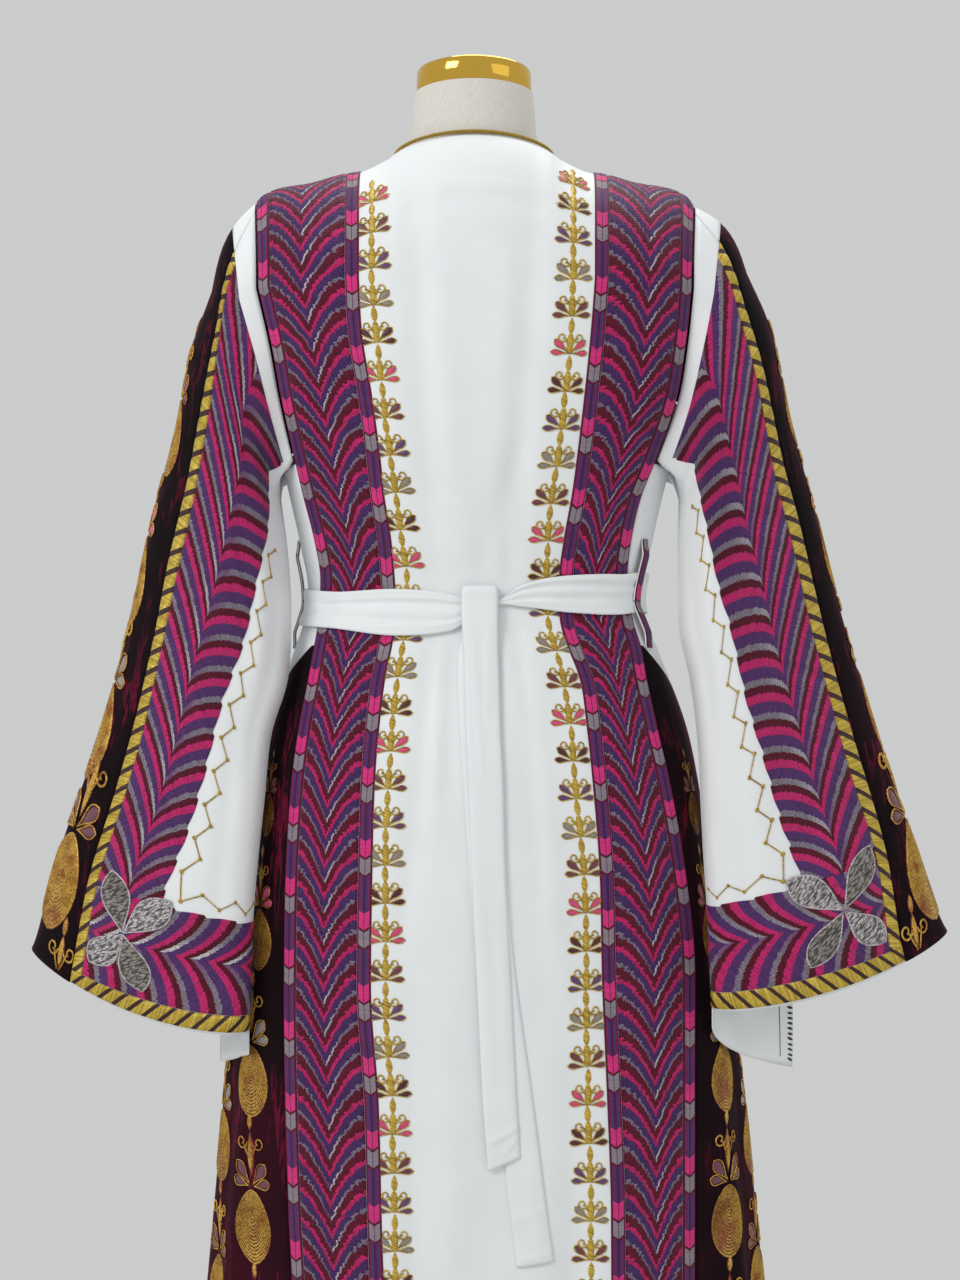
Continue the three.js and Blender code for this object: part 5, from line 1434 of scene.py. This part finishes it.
SLEEVE_MOTIFS = {"left": [(-50, 222, 6, 1.15), (-57, 366, 4, 1.3), (-54, 508, 2, 1.4), (-42, 647, -4, 1.45)],
                 "right": [(56, 224, -6, 1.15), (62, 370, -4, 1.3), (64, 520, -2, 1.4), (54, 674, 2, 1.5)]}
for side, spots in SLEEVE_MOTIFS.items():
    sign = -1 if side == "left" else 1
    lay, origin = sleeve_velvet[side], 0.0 if sign > 0 else 1.0
    inner = [(x + sign * 84, b + 30, turn, size * 0.9) for x, b, turn, size in spots[1:3]]
    velvet_work(f"sleeve_{side}", lay, origin, [(x, -b, turn, size, 0) for x, b, turn, size in spots + inner])
    mesh = repeated(f"sleeve_{side}_stem", charts["velvet_stem"],
                    [(sign * 17, -(lay.length + 103), 0, 1.2, 0)], dull.material)
    laid(f"sleeve_{side}_stem", mesh, lay, dull.material, origin, 0.15)

# Overlocking in black thread binds the free edge of the right under-sleeve flap.
charts["overlock"] = chart("overlock", moved(leaf(4.6, 1.6, 0.6, 6, 4), turn=14))
black_thread = Shader("black_thread", Roughness=0.6, Sheen_Weight=0.2)
black_thread.set("Base_Color", black_thread.ramp(black_thread.noise(black_thread.place(), 700, 2),
                                                 [(0.35, srgb("15151a")), (0.65, srgb("3a3a42"))]))
lay = under_sleeve["right"]
top = float(lay.down(9.15))
spots = [(0.4, -b, 0, 1, 0) for b in np.arange(top, lay.length - 1, 2.9)]
mesh = repeated("overlock_right", charts["overlock"], spots, black_thread.material, 0.1, 2)
laid("overlock_right", mesh, lay, black_thread.material, 0.0, 0.1, UNDER_WALL)
points, faces = rope([(10.5, -b, 0.1) for b in np.arange(top, lay.length - 4, 3)], 0.3, 4)
mesh = bpy.data.meshes.new("flap_stitching")
mesh.from_pydata(points.tolist(), [], faces)
laid("flap_stitching_right", mesh, lay, black_thread.material, 0.0, 0.0,
     UNDER_WALL)


# ---- Neck cord ----------------------------------------------------------------------------------
# A braided gold cord is sewn round the edge of the neckline. Its strands are a row of beads that
# lean to the left and right in turn over a round core.
BEADS = 170
a = np.linspace(0, 2 * np.pi, BEADS, endpoint=False)
x, arc = (NECK - 0.01) * np.sin(a), np.sqrt(1 - ((1 - 0.01 / NECK) * np.sin(a)) ** 2)
isback = np.cos(a) > 0
path = np.stack([x, np.where(isback, NECK_BEHIND, NECK_BEFORE) * arc,
                 NECK_HIGH + np.where(isback, RISE_BEHIND, RISE_BEFORE) * arc**2 + 2.9], -1)
ahead = np.roll(path, -1, 0) - np.roll(path, 1, 0)
heading = np.arctan2(ahead[:, 1], ahead[:, 0]) + np.where(np.arange(BEADS) % 2, 0.5, -0.5)
pitch = -np.arcsin(ahead[:, 2] / np.linalg.norm(ahead, axis=1))
mesh = along("neck_braid", path * 0.001, 0 * a + 1, np.stack([0 * a, pitch, heading], -1), True,
             Radius=0.0013, Bead=0.001, **{"Bead Shape": (2.3, 1.45, 1.7), "Thread": gilt.material})
mesh.uv_layers.new(name="flat")
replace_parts(shown("neck_braid", mesh), "neck_cord")


# ---- Belt ---------------------------------------------------------------------------------------
# A sash of the white crepe, folded double, goes round the waist and is tied at the centre back; one
# end comes up over the knot and both hang down the skirt.
BELT_ROUTE = table("turn middle width", [
    (-180, 1057, 35), (-90, 1051, 35), (-50, 1047, 34), (-5, 1044, 33), (5, 1053, 5), (12, 1059, 20),
    (22, 1061, 31), (50, 1061, 38), (70, 1064, 38), (90, 1062, 37), (180, 1057, 35)])
# Outer faces of the two hanging ends: height, edges, distance off the dress.
STRAP = table("z left right off", [
    (1069.5, -8, 19, 4.9), (1068.6, -9.5, 20.5, 7.2), (1066, -10.5, 21.5, 8.8), (1060, -11, 22, 9.8),
    (1046, -11, 22, 10.7), (1032, -10.5, 22, 9.6), (1015, -9.5, 22, 7.4), (985, -8.5, 23, 6.2),
    (940, -7, 24, 5.7), (900, -5, 26, 5.6), (820, -2, 28, 5.6), (720, 3, 33, 5.6),
    (620, 8, 38, 5.6), (562, 12.5, 41.5, 5.6)][::-1])
TAIL = table("z left right off", [
    (1025.6, -8, 18, 4.2), (1015, -13, 16, 2.9), (985, -15, 15, 2.8), (940, -13, 17, 2.8),
    (900, -10, 21, 2.8), (820, -4, 27, 2.8), (720, 7, 38, 2.8), (620, 20, 52, 2.8),
    (520, 32, 65, 2.8), (480, 37, 71, 2.8)][::-1])


def belt_surface(turn, h):
    at = (np.asarray(turn) + 180) % 360 - 180
    z = look(BELT_ROUTE, "middle", at) + h * look(BELT_ROUTE, "width", at)
    return dress(turn, z)


def belt_folds(turn, h):
    """Lengthwise folds: they run level to the knot on the left and fan out from it on the right."""
    at = (turn + 180) % 360 - 180
    t = np.abs(at) / 90
    near = np.clip(1.15 - t, 0.12, 1)
    width = np.minimum(look(BELT_ROUTE, "width", at) / 30, 1)
    out = 0
    for side, place, drift, wide, high in [
            (-1, 0.33, -0.12, 0.045, 1.3), (-1, 0.22, -0.04, 0.07, -0.9), (-1, -0.02, 0.1, 0.1, 0.9),
            (-1, -0.2, 0.05, 0.06, -1.1), (-1, -0.31, -0.02, 0.05, 1.0), (-1, 0.44, -0.02, 0.03, 0.6),
            (1, 0.4, -0.06, 0.05, 1.4), (1, 0.27, -0.1, 0.06, -1.2), (1, 0.08, -0.02, 0.08, 1.1),
            (1, -0.12, 0.08, 0.06, -1.0), (1, -0.3, 0.06, 0.07, 1.0)]:
        crest = place + drift * t
        out = out + np.where(np.sign(at) == side, high * np.exp(-((h - crest) / wide) ** 2), 0)
    ripple = 0.25 * np.sin(at * 0.31) * np.sin(h * 9 + at * 0.05)
    return np.clip((out * near + ripple) * width, -0.9, 1.6)


def shell(name, outer, wall, material, slot, flat):
    """A closed sheet with the given outer face, as rows of points in mm from the top down."""
    rows, columns = outer.shape[:2]
    down, right = np.gradient(outer, axis=0), np.gradient(outer, axis=1)
    n = np.cross(down, right)
    n /= np.maximum(np.linalg.norm(n, axis=-1, keepdims=True), 1e-9)
    inner = outer - n * wall
    middle = (outer + inner) / 2
    for edge in (np.s_[0], np.s_[-1], np.s_[:, 0], np.s_[:, -1]):
        outer[edge] = middle[edge] + (outer[edge] - middle[edge]) * 0.45
        inner[edge] = middle[edge] + (inner[edge] - middle[edge]) * 0.45
    points = np.concatenate([outer.reshape(-1, 3), inner.reshape(-1, 3)])
    return piece(name, points, sheet_faces(rows, columns), material, slot,
                 np.tile(np.asarray(flat).reshape(-1, 2) * 0.001, (2, 1)))


# The turns at which the belt goes in and comes out under its knot, how far its face is off the dress,
# and its wall, folded double.
BELT_START, BELT_END, BELT_OFF, BELT_WALL = 3.6, 359.2, 4.4, 1.8
belt_lay = Lay(belt_surface, lambda h: BELT_START + 0 * h, lambda h: BELT_END + 0 * h, 0.5, -0.5)
h = np.linspace(0.5, -0.5, 21)[:, None]
turn = np.linspace(BELT_START, BELT_END, 260)[None]
b = np.interp(-h, -belt_lay.q, belt_lay.b) + 0 * turn
outer = belt_lay.put((turn - BELT_START) / (BELT_END - BELT_START) + 0 * h, b,
                     BELT_OFF + belt_folds(turn + 0 * h, h + 0 * turn))
flat = np.stack([(turn / 360 * 900) + 0 * h, -b], -1)
belt_cloth = shell("belt_cloth", outer, BELT_WALL, crepe.material, "crepe", flat)
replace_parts(belt_cloth, "belt_wrap")


def hanging(name, rows, folds, slant):
    """A hanging end from the table of its outer face; its lower end is cut at a slant."""
    t, s = np.linspace(0, 1, 190)[:, None], np.linspace(0, 1, 13)[None]
    top, bottom = rows["z"].max(), rows["z"].min()
    z = top - (top - bottom - slant * s) * t
    left, right = look(rows, "left", z), look(rows, "right", z)
    x = left + (right - left) * s
    p = dress(turn_of(x, z), z)
    p[..., 1] -= look(rows, "off", z) + folds(s + 0 * t, z) - 1.2 * (2 * s - 1) ** 6
    flat = np.stack([(s - 0.5) * (right - left), z - top], -1)
    return shell(name, p, BELT_WALL, crepe.material, "crepe", flat)


def bump_line(s, z, s0, z0, s1, z1, width, high):
    """A soft crease of a hanging end between two places (share of its width, height)."""
    x, x0, x1 = s * 33, s0 * 33, s1 * 33
    d = np.array([x1 - x0, z1 - z0])
    t = np.clip(((x - x0) * d[0] + (z - z0) * d[1]) / (d @ d), 0, 1)
    away = np.hypot(x - x0 - t * d[0], z - z0 - t * d[1]) / width
    return high * np.exp(-away**2) * np.clip(np.sin(np.pi * (0.1 + 0.8 * t)) * 1.5, 0, 1)


strap = hanging("belt_strap_cloth", STRAP, lambda s, z: (
    bump_line(s, z, 0.3, 1020, 0.42, 900, 3.0, 0.9) + bump_line(s, z, 0.75, 1035, 0.6, 940, 2.5, 0.8)
    + bump_line(s, z, 0.2, 820, 0.3, 640, 5, 0.8) + bump_line(s, z, 0.8, 760, 0.7, 620, 4, 0.7)
    + bump_line(s, z, 0.1, 586, 1.0, 600, 2.2, 1.6) + bump_line(s, z, 0.5, 576, 1.0, 594, 1.8, 1.2)
    + bump_line(s, z, 0.1, 1062, 0.9, 1060, 1.8, 0.5)), 12)
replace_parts(strap, "belt_knot", "belt_tail_front")
tail = hanging("belt_tail_cloth", TAIL, lambda s, z: (
    bump_line(s, z, 0.6, 560, 0.7, 500, 4, 0.8) + bump_line(s, z, 0.0, 520, 0.9, 528, 4, 0.8)
    + bump_line(s, z, 0.15, 487, 1.0, 493, 1.8, 1.2)), 5)
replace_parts(tail, "belt_tail_back")


# ---- Belt loops ---------------------------------------------------------------------------------
# At each side a narrow strap of the embroidery, edged with a piping of white crepe, holds the belt;
# its two ends are sewn to the dress above and below it.
LOOPS = {"left": (-88, 1), "right": (67, -1)}
LOOP_TOP, LOOP_FOOT, LOOP_HALF, LOOP_WALL = 1113, 1012, 6.0, 1.2
for side, (turn, lean) in LOOPS.items():
    z = np.linspace(LOOP_TOP, LOOP_FOOT, 61)
    half = math.degrees(LOOP_HALF / 110)
    middle = turn + lean * 1.6 * np.exp(-((z - 1056) / 22) ** 2) * np.sign(turn)
    ease = np.clip(np.minimum(z - LOOP_FOOT, LOOP_TOP - z) / 16, 0, 1)
    off = LOOP_WALL + 0.7 + 4.7 * ease * ease * (3 - 2 * ease)

    def loop_surface(t, z, middle=middle, heights=z):
        centre = np.interp(z, heights[::-1], middle[::-1])
        return dress(centre + t, z)
    lay = Lay(loop_surface, lambda z: -half + 0 * z, lambda z: half + 0 * z, LOOP_TOP, LOOP_FOOT)
    share, b = np.meshgrid(np.linspace(0, 1, 9), np.linspace(0, lay.length, 61))
    raised = off[:, None] + 0.5 * np.sqrt(np.clip(1 - (2 * share - 1) ** 2, 0, 1))
    outer = lay.put(share, b, raised)
    flat = np.stack([(share - 0.5) * 2 * LOOP_HALF, -b], -1)
    loop_cloth = shell(f"belt_loop_{side}_cloth", outer, LOOP_WALL, arrow_thread, "feather_embroidery",
                       flat)
    set_uv(loop_cloth.data, "half", np.full((len(loop_cloth.data.vertices), 2), LOOP_HALF))
    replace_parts(loop_cloth, f"belt_loop_{side}")
    rim = lay.put(share, b, raised - 1.0)
    rim = np.concatenate([rim[:, 0], rim[-1, 1:-1], rim[::-1, -1], rim[0, ::-1][1:-1]])
    points, faces = rope(rim, 0.7, 5, closed=True)
    piece(f"belt_loop_{side}_piping", points, faces, crepe.material, "crepe", points[:, :2] * 0.001)


# ---- Floor, light and camera --------------------------------------------------------------------
# A plain pale floor, a grey surround with three soft lights, and a camera that looks level at the
# back of the dress.
FLOOR_RADIUS, FLOOR_SIDES = 1.15, 96
floor_shader = Shader("floor", Roughness=0.8, Base_Color=srgb("dcdcda"))
angle = np.linspace(0, 2 * np.pi, FLOOR_SIDES, endpoint=False)
mesh = bpy.data.meshes.new("floor")
mesh.from_pydata([(FLOOR_RADIUS * math.cos(a), FLOOR_RADIUS * math.sin(a), 0) for a in angle], [],
                 [list(range(FLOOR_SIDES))])
mesh.materials.append(floor_shader.material)
floor = bpy.data.objects.new("floor", mesh)
bpy.context.scene.collection.objects.link(floor)
floor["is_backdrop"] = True

world = bpy.data.worlds.new("studio")
world.use_nodes = True
background = world.node_tree.nodes["Background"]
background.inputs["Color"].default_value = (0.66, 0.67, 0.665, 1)
background.inputs["Strength"].default_value = 0.9
bpy.context.scene.world = world
for name, place, aim, size, power in [
        ("key", (-1.9, -1.9, 2.5), (0, 0, 1.0), 1.1, 32), ("fill", (2.2, -1.6, 1.7), (0, 0, 0.9), 1.8, 5),
        ("top", (0.2, 0.6, 3.0), (0, 0, 1.2), 1.2, 16)]:
    light = bpy.data.objects.new(name, bpy.data.lights.new(name, "AREA"))
    light.data.size, light.data.energy = size, power
    light.location = place
    light.rotation_euler = (Vector(aim) - Vector(place)).to_track_quat("-Z", "Y").to_euler()
    bpy.context.scene.collection.objects.link(light)

FOCAL, FRAME_HEIGHT, SENSOR = 1750, 1280, 36
camera = bpy.data.objects.new("camera", bpy.data.cameras.new("camera"))
camera.data.lens = SENSOR * FOCAL / FRAME_HEIGHT
camera.location = (0.0057, -1.65, 1.02)
camera.rotation_euler = (math.pi / 2, 0, 0)
bpy.context.scene.collection.objects.link(camera)
bpy.context.scene.camera = camera

low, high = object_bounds()
